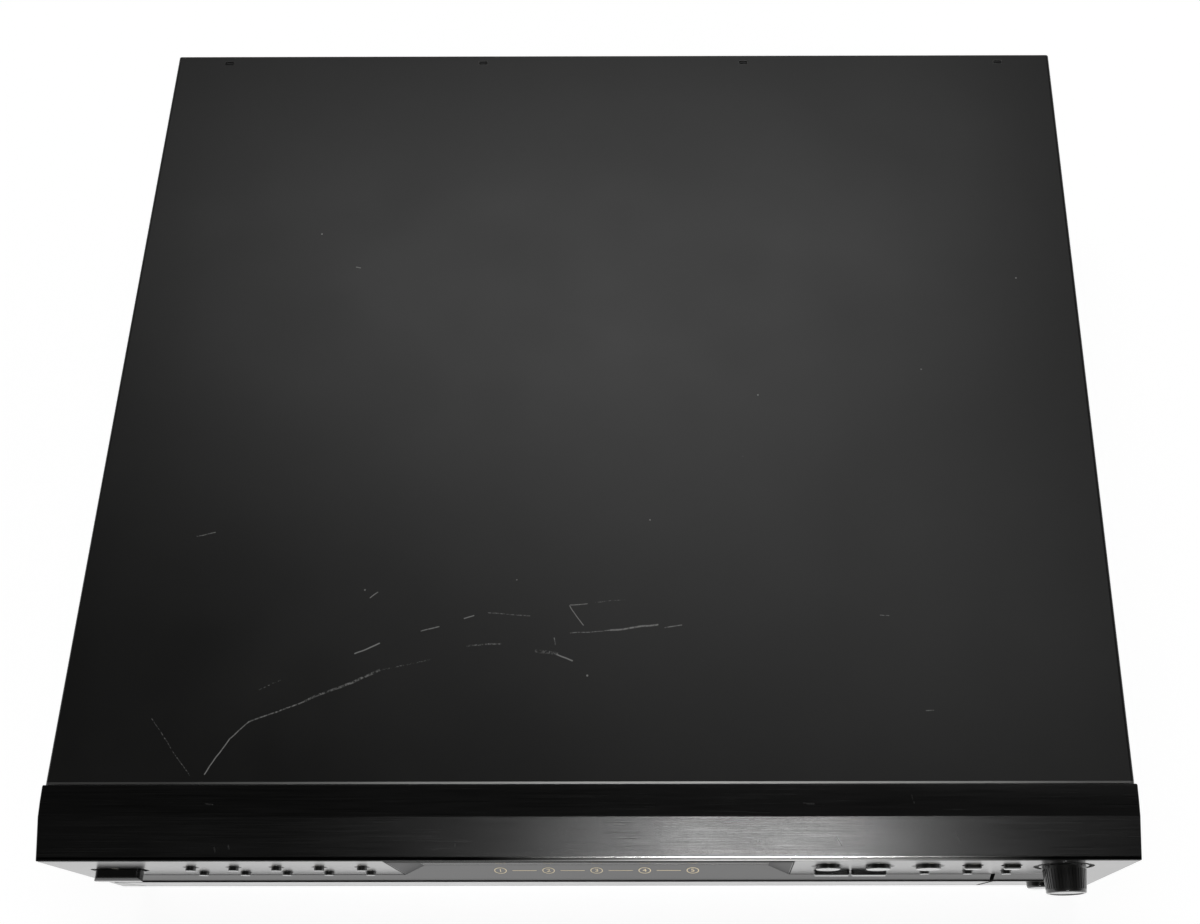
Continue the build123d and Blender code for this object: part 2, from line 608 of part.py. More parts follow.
def make_tray_front():
    """Drawer front: lower face, ledge, sloping band and the tongue that runs up under the window."""
    left, right = DRAWER_LEFT + DRAWER_GAP, DRAWER_RIGHT - 1.7
    low = DRAWER_FOOT + DRAWER_GAP
    lower_slope = (BAND_REACH + LEDGE) / (BAND_FOOT - PANEL_FOOT)
    low_reach = lower_slope * (low - PANEL_FOOT)
    thick = 2.5
    gap_down = 0.3
    band_top = FASCIA_FOOT - gap_down
    with BuildPart() as tray_front:
        with BuildSketch(Plane.YZ.offset(left)):
            side_outline([
                (-gap_down * BAND_SLOPE, band_top), (-BAND_REACH, BAND_FOOT),
                (-BAND_REACH - LEDGE, BAND_FOOT), (-low_reach, low), (thick - low_reach, low),
                (thick - BAND_REACH - LEDGE, BAND_FOOT - 0.4), (thick + 0.2, band_top),
            ])
        extrude(amount=right - left)
        # tongue, its ends cut to the lean of the recess
        with BuildSketch(Plane.YZ.offset(-WINDOW_HALF)):
            side_outline([
                (-gap_down * BAND_SLOPE, band_top), (WINDOW_SETBACK, TONGUE_TOP),
                (WINDOW_SETBACK + thick, TONGUE_TOP), (thick + 0.2, band_top),
            ])
        extrude(amount=2 * WINDOW_HALF)
        lean = (WINDOW_HALF - WINDOW_INNER_HALF) / WINDOW_SETBACK
        for side in (-1, 1):
            with BuildSketch(Plane.XY.offset(band_top)):
                with BuildLine():
                    edge = side * (WINDOW_HALF - 0.3)
                    Polyline((edge + side * lean, back(-1)), (edge - side * lean * 7, back(7)),
                             (side * 90, back(7)), (side * 90, back(-1)), close=True)
                make_face()
            extrude(amount=20, mode=Mode.SUBTRACT)
        # ribs that reach back to the tray
        for x in (left + 2, -150, -100, -50, 0, 50, 100, right - 4):
            block((x, x + 2), (1.5, TRAY_FRONT_WALL), (46.5, 53))
        block((left + 2, right - 2), (0.5, TRAY_FRONT_WALL), (44.5, 46.5))
    save(tray_front, "tray_front")


def make_disc_table():
    centre = (TRAY_MID, back(TABLE_DEPTH))
    with BuildPart() as disc_table:
        upright(TRAY_MID, TABLE_DEPTH, TABLE_RADIUS, (TABLE_WEB, TABLE_TOP))
        for recess, floor in ((DISC_RECESS, DISC_FLOOR), (SMALL_DISC_RECESS, DISC_FLOOR - 0.8)):
            with BuildSketch(Plane.XY.offset(floor)):
                with Locations(centre):
                    with PolarLocations(DISC_CIRCLE, DISC_COUNT, start_angle=90):
                        Circle(recess)
            extrude(amount=TABLE_TOP - floor + 1, mode=Mode.SUBTRACT)
        # opening from each disc's middle out to the rim
        with BuildSketch(Plane.XY.offset(TABLE_WEB - 1)):
            with Locations(centre):
                with PolarLocations(DISC_CIRCLE, DISC_COUNT, start_angle=90):
                    Circle(HUB_HOLE)
                with PolarLocations(DISC_CIRCLE + 40, DISC_COUNT, start_angle=90):
                    Rectangle(80, 2 * SLOT_HALF)
        extrude(amount=TABLE_TOP - TABLE_WEB + 2, mode=Mode.SUBTRACT)
        # toothed ring and hub under the web
        gear(TRAY_MID, TABLE_DEPTH, RING_TEETH, TABLE_MODULE, (RING_LOW, TABLE_WEB))
        upright(TRAY_MID, TABLE_DEPTH, RING_TEETH * TABLE_MODULE / 2 - 6, (RING_LOW - 1, TABLE_WEB),
                Mode.SUBTRACT)
        upright(TRAY_MID, TABLE_DEPTH, HUB_RADIUS, (FLOOR_TOP, TABLE_WEB))
        upright(TRAY_MID, TABLE_DEPTH, POST_RADIUS + FIT, (FLOOR_TOP - 1, TABLE_TOP + 1), Mode.SUBTRACT)
        # raised ring round the middle of the table
        with BuildSketch(Plane.XY.offset(TABLE_TOP)):
            with Locations(centre):
                Circle(26)
                Circle(23, mode=Mode.SUBTRACT)
        extrude(amount=0.8)
    save(disc_table, "disc_table")


def make_table_cap():
    with BuildPart() as table_cap:
        upright(TRAY_MID, TABLE_DEPTH, 13.0, (TABLE_TOP + 0.2, TABLE_TOP + 2.2))
        fillet(table_cap.faces().sort_by(Axis.Z)[-1].edges(), radius=1.2)
        upright(TRAY_MID, TABLE_DEPTH, CAP_STEM, (FLOOR_TOP + 1, TABLE_TOP + 0.2))
    save(table_cap, "table_cap")


def make_table_gear():
    with BuildPart() as table_gear:
        gear(TRAY_MID, PINION_DEPTH, PINION_TEETH, TABLE_MODULE, (RING_LOW, TABLE_WEB - 0.8), start=90)
        upright(TRAY_MID, PINION_DEPTH, 1.5 + FIT, (RING_LOW - 1, TABLE_WEB), Mode.SUBTRACT)
    save(table_gear, "table_gear")


def make_table_motor():
    with BuildPart() as table_motor:
        upright(TRAY_MID, PINION_DEPTH, 12.0, (27.0, TRAY_FLOOR))
        upright(TRAY_MID, PINION_DEPTH, 3.0 - FIT, (TRAY_FLOOR, TRAY_FLOOR + 2.0))
        upright(TRAY_MID, PINION_DEPTH, 1.5, (TRAY_FLOOR, TABLE_WEB - 0.9))
        upright(TRAY_MID, PINION_DEPTH, 4.0, (26.0, 27.0))
    save(table_motor, "table_motor")


# ---- mechanism frame and loading drive -----------------------------------------------------------
FRAME_LOW = FOOT_HEIGHT + SHEET
FRAME_DECK = 17.5
RAIL_FRONT = 30.0
RAIL_BACK = 354.0
RAIL_GAP = 0.6  # runner to rail, sideways
RAIL_WALL = 2.8
MOTOR_X = LOADING_X + 48.0
PULLEY_RADIUS = 16.0
MOTOR_PULLEY_RADIUS = 4.0
PULLEY_Z = (19.0, 22.4)
PIN_HEIGHT = 29.0
PIN_DEPTHS = (300.0, 350.0)
PIN_RADIUS = 2.0
GUIDE_WALL = (38.0, 41.0)  # distance of the lift guides from the middle line
SLIDER_X = (41.3, 43.3)
BRIDGE_TOP = 64.0
BRIDGE_DEPTHS = (PLAY_DEPTH - 15, PLAY_DEPTH + 15)


def make_mechanism_frame():
    outer = TRAY_HALF + RUNNER + RAIL_GAP
    rails = {-1: TRAY_MID - outer, 1: TRAY_MID + outer}
    with BuildPart() as mechanism_frame:
        block((rails[-1] - RAIL_WALL, rails[1] + RAIL_WALL), (RAIL_FRONT, 376), (FRAME_LOW, FRAME_DECK))
        # large windows in the floor
        for x, depth in (((-190, -158), (90, 250)), ((-110, -20), (90, 250)), ((10, 150), (45, 250)),
                         ((-190, -75), (275, 350)), ((45, 150), (275, 350))):
            block(x, depth, (FRAME_LOW - 1, FRAME_DECK + 1), Mode.SUBTRACT)
        # side rails: wall, lower lip and upper lip round each runner
        for side, x in rails.items():
            block(sorted((x, x + side * RAIL_WALL)), (RAIL_FRONT, RAIL_BACK), (FRAME_LOW, 52))
            lip = sorted((x, x - side * (RUNNER - 0.3)))
            block(lip, (RAIL_FRONT, RAIL_BACK), (43, 46))
            block(lip, (RAIL_FRONT, RAIL_BACK), (49.2, 51.4))
        # stud of the loading gear, and the shelf of the loading motor
        upright(LOADING_X, LOADING_DEPTH, 6, (FRAME_DECK, PULLEY_Z[0] - 0.2))
        upright(LOADING_X, LOADING_DEPTH, 3, (FRAME_DECK, 38))
        block((MOTOR_X - 15, MOTOR_X + 15), (LOADING_DEPTH - 15, LOADING_DEPTH + 15), (23.2, 25))
        for depth in ((LOADING_DEPTH - 15, LOADING_DEPTH - 13), (LOADING_DEPTH + 13, LOADING_DEPTH + 15)):
            block((MOTOR_X - 15, MOTOR_X + 15), depth, (FRAME_DECK, 23.2))
        upright(MOTOR_X, LOADING_DEPTH, 3.2, (23, 26), Mode.SUBTRACT)
        # guides of the base unit, with upright slots for its pins
        for side in (-1, 1):
            wall = sorted((TRAY_MID + side * GUIDE_WALL[0], TRAY_MID + side * GUIDE_WALL[1]))
            block(wall, (288, 362), (FRAME_DECK, 44))
            for depth in PIN_DEPTHS:
                block(wall, (depth - PIN_RADIUS - 0.1, depth + PIN_RADIUS + 0.1),
                      (PIN_HEIGHT - PIN_RADIUS - 0.1, 45), Mode.SUBTRACT)
        # low fence that keeps the slider against its guide
        block((TRAY_MID + SLIDER_X[1] + 0.3, TRAY_MID + SLIDER_X[1] + 2.3), (276, 376), (FRAME_DECK, 22))
    save(mechanism_frame, "mechanism_frame")


def make_loading_motor():
    with BuildPart() as loading_motor:
        upright(MOTOR_X, LOADING_DEPTH, 10.5, (25, 39))
        upright(MOTOR_X, LOADING_DEPTH, 1.0, (PULLEY_Z[0] - 0.6, 25))
        upright(MOTOR_X, LOADING_DEPTH, 3.0, (23.6, 25))
    save(loading_motor, "loading_motor")


def belt_groove(x, radius):
    """Pulley with a groove for the square belt, in the current part."""
    low, high = PULLEY_Z
    upright(x, LOADING_DEPTH, radius + 1.6, (low, low + 0.6))
    upright(x, LOADING_DEPTH, radius, (low + 0.6, high - 0.6))
    upright(x, LOADING_DEPTH, radius + 1.6, (high - 0.6, high))


def make_motor_pulley():
    with BuildPart() as motor_pulley:
        belt_groove(MOTOR_X, MOTOR_PULLEY_RADIUS)
        upright(MOTOR_X, LOADING_DEPTH, 1.0 + FIT, (10, 30), Mode.SUBTRACT)
        with Locations((MOTOR_X + 2.6, back(LOADING_DEPTH), sum(PULLEY_Z) / 2)):
            Cylinder(0.6, 5, mode=Mode.SUBTRACT)
    save(motor_pulley, "motor_pulley")


def make_loading_belt():
    """Square belt round both pulleys: two arcs and the straight runs between them."""
    span = MOTOR_X - LOADING_X
    thick = 1.2

    def loop(extra):
        big, small = PULLEY_RADIUS + 0.3 + extra, MOTOR_PULLEY_RADIUS + 0.3 + extra
        lean = acos((big - small) / span)
        y = back(LOADING_DEPTH)
        with BuildLine() as path:
            top_big = (LOADING_X + big * cos(lean), y + big * sin(lean))
            low_big = (LOADING_X + big * cos(lean), y - big * sin(lean))
            top_small = (MOTOR_X + small * cos(lean), y + small * sin(lean))
            low_small = (MOTOR_X + small * cos(lean), y - small * sin(lean))
            ThreePointArc(top_big, (LOADING_X - big, y), low_big)
            Line(low_big, low_small)
            ThreePointArc(low_small, (MOTOR_X + small, y), top_small)
            Line(top_small, top_big)
        return path.edges()

    with BuildPart() as loading_belt:
        with BuildSketch(Plane.XY.offset(sum(PULLEY_Z) / 2 - thick / 2)):
            make_face(loop(thick))
            make_face(loop(0), mode=Mode.SUBTRACT)
        extrude(amount=thick)
    save(loading_belt, "loading_belt")


def make_loading_gear():
    with BuildPart() as loading_gear:
        belt_groove(LOADING_X, PULLEY_RADIUS)
        upright(LOADING_X, LOADING_DEPTH, 6, (PULLEY_Z[1], TRAY_FLOOR - 6))
        gear(LOADING_X, LOADING_DEPTH, LOADING_TEETH, RACK_MODULE, (TRAY_FLOOR - 6, TRAY_FLOOR - 1))
        upright(LOADING_X, LOADING_DEPTH, 3 + FIT, (10, TRAY_FLOOR), Mode.SUBTRACT)
    save(loading_gear, "loading_gear")


# ---- playing mechanism ---------------------------------------------------------------------------
MOTOR_RADIUS = 11.5
SPINDLE_SHAFT = 1.2
ROD_RADIUS = 1.5
POCKET_HALF = 27.0
POCKET = (296.5, 362.0)
ROD_X = TRAY_MID - 18.0
ROD_HEIGHT = 32.0
SLED_RACK_X = TRAY_MID + 8.0
SLED_GEAR_X = SLED_RACK_X + SLED_TEETH * SLED_MODULE / 2 + 0.05
SLED_GEAR_DEPTH = 335.0
SLED_Z = (29.0, 31.4)
DISC_SEAT = 43.5
CLAMPER_LOW = DISC_SEAT + LIFT + 1.7  # half a millimetre over a raised disc


def make_base_unit():
    left, right = TRAY_MID - BASE_HALF, TRAY_MID + BASE_HALF
    with BuildPart() as base_unit:
        block((left, right), (BASE_FRONT, BASE_BACK), (BASE_LOW, BASE_HIGH))
        block((TRAY_MID - POCKET_HALF, TRAY_MID + POCKET_HALF), POCKET, (BASE_LOW - 1, BASE_HIGH + 1),
              Mode.SUBTRACT)
        block((left + 3, right - 3), (BASE_FRONT + 3, POCKET[0] - 3), (BASE_LOW - 1, BASE_HIGH - 2.5),
              Mode.SUBTRACT)
        upright(TRAY_MID, PLAY_DEPTH, 4.0, (BASE_LOW, BASE_HIGH + 1), Mode.SUBTRACT)
        upright(TRAY_MID, PLAY_DEPTH, MOTOR_RADIUS + FIT, (BASE_LOW - 1, 33.5), Mode.SUBTRACT)
        # holes for the guide rod
        lying(ROD_X, ROD_HEIGHT, ROD_RADIUS, (POCKET[0] - 3, POCKET[1] + 3), Mode.SUBTRACT)
        # rib that carries the sled motor and gear
        block((SLED_GEAR_X - 10, TRAY_MID + POCKET_HALF), (SLED_GEAR_DEPTH - 6, SLED_GEAR_DEPTH + 6),
              (BASE_LOW, 27.6))
        upright(SLED_GEAR_X, SLED_GEAR_DEPTH, 1.6, (BASE_LOW - 1, 28), Mode.SUBTRACT)
        # notch in the back wall for the sled rack
        block((SLED_RACK_X - 5, SLED_RACK_X + 2), (POCKET[1] - 1, BASE_BACK + 1), (SLED_Z[0] - 0.6, 37),
              Mode.SUBTRACT)
        # lift pins
        for side in (-1, 1):
            for depth in PIN_DEPTHS:
                reach = SLIDER_X[1] if side > 0 else GUIDE_WALL[1]
                crossways(depth, PIN_HEIGHT, PIN_RADIUS,
                          sorted((TRAY_MID + side * (BASE_HALF - 1), TRAY_MID + side * reach)))
    save(base_unit, "base_unit")


def make_drive_motors():
    """Spindle motor and sled motor."""
    with BuildPart() as drive_motors:
        upright(TRAY_MID, PLAY_DEPTH, MOTOR_RADIUS, (21.5, 33.5))
        upright(TRAY_MID, PLAY_DEPTH, SPINDLE_SHAFT, (33.5, DISC_SEAT - 1))
        upright(SLED_GEAR_X, SLED_GEAR_DEPTH, 9.0, (19.5, BASE_LOW))
        upright(SLED_GEAR_X, SLED_GEAR_DEPTH, 1.5, (BASE_LOW, SLED_Z[0] - 0.2))
        upright(SLED_GEAR_X, SLED_GEAR_DEPTH, 1.0, (BASE_LOW, SLED_Z[1]))
    save(drive_motors, "drive_motors")


def make_spindle_hub():
    with BuildPart() as spindle_hub:
        upright(TRAY_MID, PLAY_DEPTH, 14.5, (DISC_SEAT - 2.6, DISC_SEAT))
        upright(TRAY_MID, PLAY_DEPTH, 5.0, (37.0, DISC_SEAT - 2.6))
        with Locations((TRAY_MID, back(PLAY_DEPTH), DISC_SEAT + 1.4)):
            Cone(7.4, 5.6, 2.8)
        upright(TRAY_MID, PLAY_DEPTH, SPINDLE_SHAFT + FIT, (36, DISC_SEAT - 0.9), Mode.SUBTRACT)
    save(spindle_hub, "spindle_hub")


def make_optical_pickup():
    lens_depth = PLAY_DEPTH + PICKUP_START
    with BuildPart() as optical_pickup:
        block((TRAY_MID - 22, TRAY_MID + 6), (lens_depth - 11, lens_depth + 11), (28.2, 39.5))
        upright(TRAY_MID, lens_depth, 4.0, (39.5, 41.5))
        upright(TRAY_MID, lens_depth, 2.6, (41.1, 42), Mode.SUBTRACT)
        lying(ROD_X, ROD_HEIGHT, ROD_RADIUS + FIT, (lens_depth - 20, lens_depth + 20), Mode.SUBTRACT)
        # sled rack along the right side
        with BuildSketch(Plane.XY.offset(SLED_Z[0])):
            Polygon(*rack_points(SLED_RACK_X, SLED_MODULE, SLED_GEAR_DEPTH,
                                 (SLED_GEAR_DEPTH - PICKUP_TRAVEL - 1.0, SLED_GEAR_DEPTH + 2.5)), align=None)
        extrude(amount=SLED_Z[1] - SLED_Z[0])
    save(optical_pickup, "optical_pickup")


def make_guide_rod():
    with BuildPart() as guide_rod:
        lying(ROD_X, ROD_HEIGHT, ROD_RADIUS, (POCKET[0] - 3, POCKET[1] + 3))
    save(guide_rod, "guide_rod")


def make_sled_gear():
    with BuildPart() as sled_gear:
        gear(SLED_GEAR_X, SLED_GEAR_DEPTH, SLED_TEETH, SLED_MODULE, SLED_Z)
        upright(SLED_GEAR_X, SLED_GEAR_DEPTH, 1.0 + FIT, (20, 40), Mode.SUBTRACT)
    save(sled_gear, "sled_gear")


def make_lift_slider():
    """Plate beside the base unit whose sloping slots raise its pins."""
    low, high = FRAME_DECK + 0.1, 43.0
    front, rear = PIN_DEPTHS[0] - LIFT_SLIDE - 6, PIN_DEPTHS[1] + 6
    with BuildPart() as lift_slider:
        block((TRAY_MID + SLIDER_X[0], TRAY_MID + SLIDER_X[1]), (front, rear), (low, high))
        slope = -degrees(acos(LIFT_SLIDE / sqrt(LIFT_SLIDE**2 + LIFT**2)))
        with BuildSketch(Plane.YZ.offset(TRAY_MID + SLIDER_X[0] - 1)):
            for depth in PIN_DEPTHS:
                with Locations((back(depth - LIFT_SLIDE / 2), PIN_HEIGHT + LIFT / 2)):
                    SlotCenterToCenter(sqrt(LIFT_SLIDE**2 + LIFT**2), 2 * (PIN_RADIUS + 0.1), rotation=slope)
        extrude(amount=5, mode=Mode.SUBTRACT)
    save(lift_slider, "lift_slider")


def make_clamp_bridge():
    outer = TRAY_HALF + RUNNER + RAIL_GAP
    left, right = TRAY_MID - outer - RAIL_WALL, TRAY_MID + outer + RAIL_WALL
    front, rear = BRIDGE_DEPTHS
    thick = 1.2
    with BuildPart() as clamp_bridge:
        block((left, right), BRIDGE_DEPTHS, (BRIDGE_TOP - thick, BRIDGE_TOP))
        for depth in ((front, front + thick), (rear - thick, rear)):
            block((left, right), depth, (BRIDGE_TOP - 5, BRIDGE_TOP))
        block((left, left + thick), BRIDGE_DEPTHS, (52, BRIDGE_TOP))
        block((right - thick, right), BRIDGE_DEPTHS, (52, BRIDGE_TOP))
        # wider plate round the clamper
        upright(TRAY_MID, PLAY_DEPTH, 24, (BRIDGE_TOP - thick, BRIDGE_TOP))
        upright(TRAY_MID, PLAY_DEPTH, 14.4, (BRIDGE_TOP - 6, BRIDGE_TOP + 1), Mode.SUBTRACT)
    save(clamp_bridge, "clamp_bridge")


def make_clamper():
    with BuildPart() as clamper:
        upright(TRAY_MID, PLAY_DEPTH, 14.0, (CLAMPER_LOW, BRIDGE_TOP))
        upright(TRAY_MID, PLAY_DEPTH, 18.0, (BRIDGE_TOP, BRIDGE_TOP + 2.0))
        upright(TRAY_MID, PLAY_DEPTH, 9.0, (CLAMPER_LOW - 1, CLAMPER_LOW + 3.5), Mode.SUBTRACT)
        upright(TRAY_MID, PLAY_DEPTH, 6.0, (BRIDGE_TOP + 0.8, BRIDGE_TOP + 3), Mode.SUBTRACT)
    save(clamper, "clamper")


# ---- electronics and rear sockets ----------------------------------------------------------------
BOARD_LOW = 22.0
BOARD_TOP = BOARD_LOW + 1.6
BOARD_X = (172.0, 210.0)
BOARD_DEPTHS = (40.0, 305.0)
# X, depth, width, length, height
BOARD_PARTS = ((190, 90, 14, 14, 2), (190, 150, 20, 20, 2.4), (186, 200, 10, 18, 3), (198, 66, 8, 26, 7),
               (180, 236, 6, 22, 7), (200, 120, 8, 12, 6))
# X, depth, radius, height
CAPACITORS = ((183, 288, 6.5, 25), (199, 288, 6.5, 25), (183, 268, 5, 20), (199, 262, 5, 20),
              (204, 238, 4, 12), (204, 226, 4, 12), (178, 176, 3.2, 11), (204, 180, 3.2, 11))


def make_main_board():
    with BuildPart() as main_board:
        block(BOARD_X, BOARD_DEPTHS, (BOARD_LOW, BOARD_TOP))
        for x in (BOARD_X[0] + 5, BOARD_X[1] - 5):
            for depth in (BOARD_DEPTHS[0] + 8, sum(BOARD_DEPTHS) / 2, BOARD_DEPTHS[1] - 8):
                upright(x, depth, 2.5, (FRAME_LOW, BOARD_LOW))
        # circuits and cable sockets
        for x, depth, width, length, tall in BOARD_PARTS:
            block((x - width / 2, x + width / 2), (depth - length / 2, depth + length / 2),
                  (BOARD_TOP, BOARD_TOP + tall))
    save(main_board, "main_board")


def make_capacitors():
    with BuildPart() as capacitors:
        for x, depth, radius, tall in CAPACITORS:
            upright(x, depth, radius, (BOARD_TOP, BOARD_TOP + tall))
    save(capacitors, "capacitors")


def make_power_transformer():
    """Laminated core on a foot plate, with its winding through the middle."""
    x, depth = 191.0, 345.0
    with BuildPart() as power_transformer:
        block((x - 18, x + 18), (depth - 26, depth + 26), (FRAME_LOW, FRAME_LOW + 2))
        block((x - 9, x + 9), (depth - 24, depth + 24), (FRAME_LOW + 2, FRAME_LOW + 42))
        block((x - 17, x + 17), (depth - 15.5, depth + 15.5), (FRAME_LOW + 8.5, FRAME_LOW + 35.5))
        fillet(power_transformer.edges().filter_by(Axis.Z).filter_by(
            lambda edge: abs(abs(edge.center().X - x) - 17) < 0.1), radius=5)
    save(power_transformer, "power_transformer")


SOCKET_BLOCK = (JACK_HEIGHT - 7, JACK_HEIGHT + 7)  # heights of the blocks behind the rear sockets


def make_line_out_jacks():
    """Block with two phono sockets; each has a collar, a metal shell and a socket hole."""
    middle = sum(JACK_X) / 2
    with BuildPart() as line_out_jacks:
        block((middle - 16, middle + 16), (REAR_INNER - 12, REAR_INNER), SOCKET_BLOCK)
        for x in JACK_X:
            lying(x, JACK_HEIGHT, JACK_HOLE - FIT, (REAR_INNER - 1, BODY_DEPTH))
            lying(x, JACK_HEIGHT, 6.0, (BODY_DEPTH, BODY_DEPTH + 1.2))
            lying(x, JACK_HEIGHT, 4.15, (BODY_DEPTH, BODY_DEPTH + JACK_REACH))
            lying(x, JACK_HEIGHT, 1.65, (BODY_DEPTH - 8, BODY_DEPTH + JACK_REACH + 1), Mode.SUBTRACT)
    save(line_out_jacks, "line_out_jacks")


def make_optical_output():
    with BuildPart() as optical_output:
        block((OPTICAL_X - 7, OPTICAL_X + 7), (REAR_INNER - 11, REAR_INNER), SOCKET_BLOCK)
        block((OPTICAL_X - 4.9, OPTICAL_X + 4.9), (REAR_INNER - 1, BODY_DEPTH + 1.6),
              (JACK_HEIGHT - 4.9, JACK_HEIGHT + 4.9))
        block((OPTICAL_X - 3.7, OPTICAL_X + 3.7), (REAR_INNER - 7, BODY_DEPTH + 3),
              (JACK_HEIGHT - 3.2, JACK_HEIGHT + 3.2), Mode.SUBTRACT)
    save(optical_output, "optical_output")


def make_cord_gland():
    """Moulded bush in the rear panel, with the empty passage for a mains cord."""
    with BuildPart() as cord_gland:
        lying(GLAND_X, GLAND_HEIGHT, GLAND_HOLE - FIT, (REAR_INNER - 4, BODY_DEPTH))
        lying(GLAND_X, GLAND_HEIGHT, 8.0, (BODY_DEPTH, BODY_DEPTH + 3))
        lying(GLAND_X, GLAND_HEIGHT, 7.4, (REAR_INNER - 4, REAR_INNER))
        lying(GLAND_X, GLAND_HEIGHT, 3.3, (REAR_INNER - 8, BODY_DEPTH + 5), Mode.SUBTRACT)
    save(cord_gland, "cord_gland")


# ---- the whole player ----------------------------------------------------------------------------
make_top_cover()
make_base_chassis()
make_rear_panel()
make_casing_screws()
make_feet()
make_foot_pads()
make_cap_strip()
make_front_panel()
make_display_window()
make_display_tube()
make_front_boards()
for button, (x, height, radius, protrusion, _) in ROUND_BUTTONS.items():
    make_round_button(button, x, height, radius, protrusion)
for button, (x, height, width, tall, protrusion, _, corner) in OBLONG_BUTTONS.items():
    if button != "power_button":
        make_oblong_button(button, x, height, width, tall, protrusion, corner)
make_power_button()
make_open_button()
make_jog_knob()
make_tray()
make_tray_front()
make_disc_table()
make_table_cap()
make_table_gear()
make_table_motor()
make_mechanism_frame()
make_loading_motor()
make_motor_pulley()
make_loading_belt()
make_loading_gear()
make_base_unit()
make_drive_motors()
make_spindle_hub()
make_optical_pickup()
make_guide_rod()
make_sled_gear()
make_lift_slider()
make_clamp_bridge()
make_clamper()
make_main_board()
make_capacitors()
make_power_transformer()
make_line_out_jacks()
make_optical_output()
make_cord_gland()
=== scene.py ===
"""Looks of a multi disc CD changer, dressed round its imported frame.

Metres. X runs along the front, Y from the front to the back, Z up, as in the frame. A "depth" is a
distance behind the flat front face of the fascia. Sizes of the real player are named in millimetres, and
MM turns them into metres.
"""

import json
from math import atan, cos, hypot, pi, radians, sin

import bmesh
import bpy
from bpy.props import FloatProperty, FloatVectorProperty, IntProperty, PointerProperty
from bpy.types import Operator, Panel, PropertyGroup
from mathutils import Matrix, Vector


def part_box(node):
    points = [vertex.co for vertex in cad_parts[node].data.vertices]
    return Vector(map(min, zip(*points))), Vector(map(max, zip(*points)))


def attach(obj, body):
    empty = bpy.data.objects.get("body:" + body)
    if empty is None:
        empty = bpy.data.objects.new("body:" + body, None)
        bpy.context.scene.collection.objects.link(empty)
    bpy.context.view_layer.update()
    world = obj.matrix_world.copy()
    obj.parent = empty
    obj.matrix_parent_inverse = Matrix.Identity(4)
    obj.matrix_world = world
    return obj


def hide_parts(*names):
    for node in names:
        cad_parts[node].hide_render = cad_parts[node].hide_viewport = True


bl_info = {
    "name": "Disc Changer Looks",
    "version": (1, 0, 0),
    "blender": (4, 5, 0),
    "location": "3D View > Sidebar > Disc Changer",
    "description": "Finishes, detail pieces and studio of a five disc CD changer",
    "category": "Object",
}

MM = 0.001

# sizes of the real player in millimetres, by their names in the part's source
BODY_DEPTH = 382.7
SHEET = 1.0  # steel of the chassis and rear panel
WALL = 2.8  # moulded fascia wall
FASCIA_TOP = 101.8
FASCIA_FOOT = 59.5  # height where the flat fascia turns into the sloping band
BAND_FOOT = 54.0
BAND_REACH = 2.0  # how far the band's foot stands in front of the fascia
BAND_SLOPE = BAND_REACH / (FASCIA_FOOT - BAND_FOOT)
LEDGE = 0.5
PANEL_FOOT = 16.0
LOWER_SLOPE = (BAND_REACH + LEDGE) / (BAND_FOOT - PANEL_FOOT)
WINDOW_HALF = 80.0  # display recess at the fascia
WINDOW_INNER_HALF = 71.0  # display recess at the window
WINDOW_TOP = 97.3
WINDOW_SETBACK = 2.8
DISC_COUNT = 5
TABLE_TOP = 53.0
KNOB_REACH = 10.6  # jog knob in front of the fascia
JACK_X = (-176.0, -160.0)
JACK_HEIGHT = 62.0
JACK_REACH = 8.2  # line-out sockets behind the rear panel

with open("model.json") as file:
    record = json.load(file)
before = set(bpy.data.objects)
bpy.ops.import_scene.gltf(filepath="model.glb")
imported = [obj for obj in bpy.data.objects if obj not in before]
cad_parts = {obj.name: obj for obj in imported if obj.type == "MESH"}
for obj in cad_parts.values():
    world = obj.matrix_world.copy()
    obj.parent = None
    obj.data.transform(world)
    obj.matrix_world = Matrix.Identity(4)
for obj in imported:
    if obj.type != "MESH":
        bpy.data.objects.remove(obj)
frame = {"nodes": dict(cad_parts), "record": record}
NODES = frame["nodes"]
SLOT_OF = {part["node"]: part["material_slot"] for part in frame["record"]["subparts"]}
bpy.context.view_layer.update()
BODY_OF = {node: body for body, group in frame["record"]["behaviour"]["bodies"].items() for node in group}

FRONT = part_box("top_cover")[1].y - BODY_DEPTH * MM  # Y of the flat fascia
COVER_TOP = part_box("top_cover")[1].z
COVER_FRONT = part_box("top_cover")[0].y

# the camera of the photograph
CAMERA_PLACE = (0.049261, -0.259616, 0.661494)
CAMERA_TURN = (0.005458, 0.402759, -0.006871)  # about Z, X and Z
CAMERA_LENS = 41.744
CAMERA_SENSOR = 36.0
CAMERA_SHIFT = -0.0928


def back(depth):
    """Y of a depth behind the fascia, given in millimetres."""
    return FRONT + depth * MM


def centre_of(node):
    low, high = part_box(node)
    return (low + high) / 2


# ---- what a user would change ------------------------------------------------------------------
def size(name, description, default):
    return FloatProperty(name=name, description=description, default=default, unit="LENGTH", precision=5)


def share(name, description, default):
    return FloatProperty(name=name, description=description, default=default, min=0.0, soft_max=1.0)


def colour(name, description, default):
    return FloatVectorProperty(name=name, description=description, default=default, subtype="COLOR", size=3)


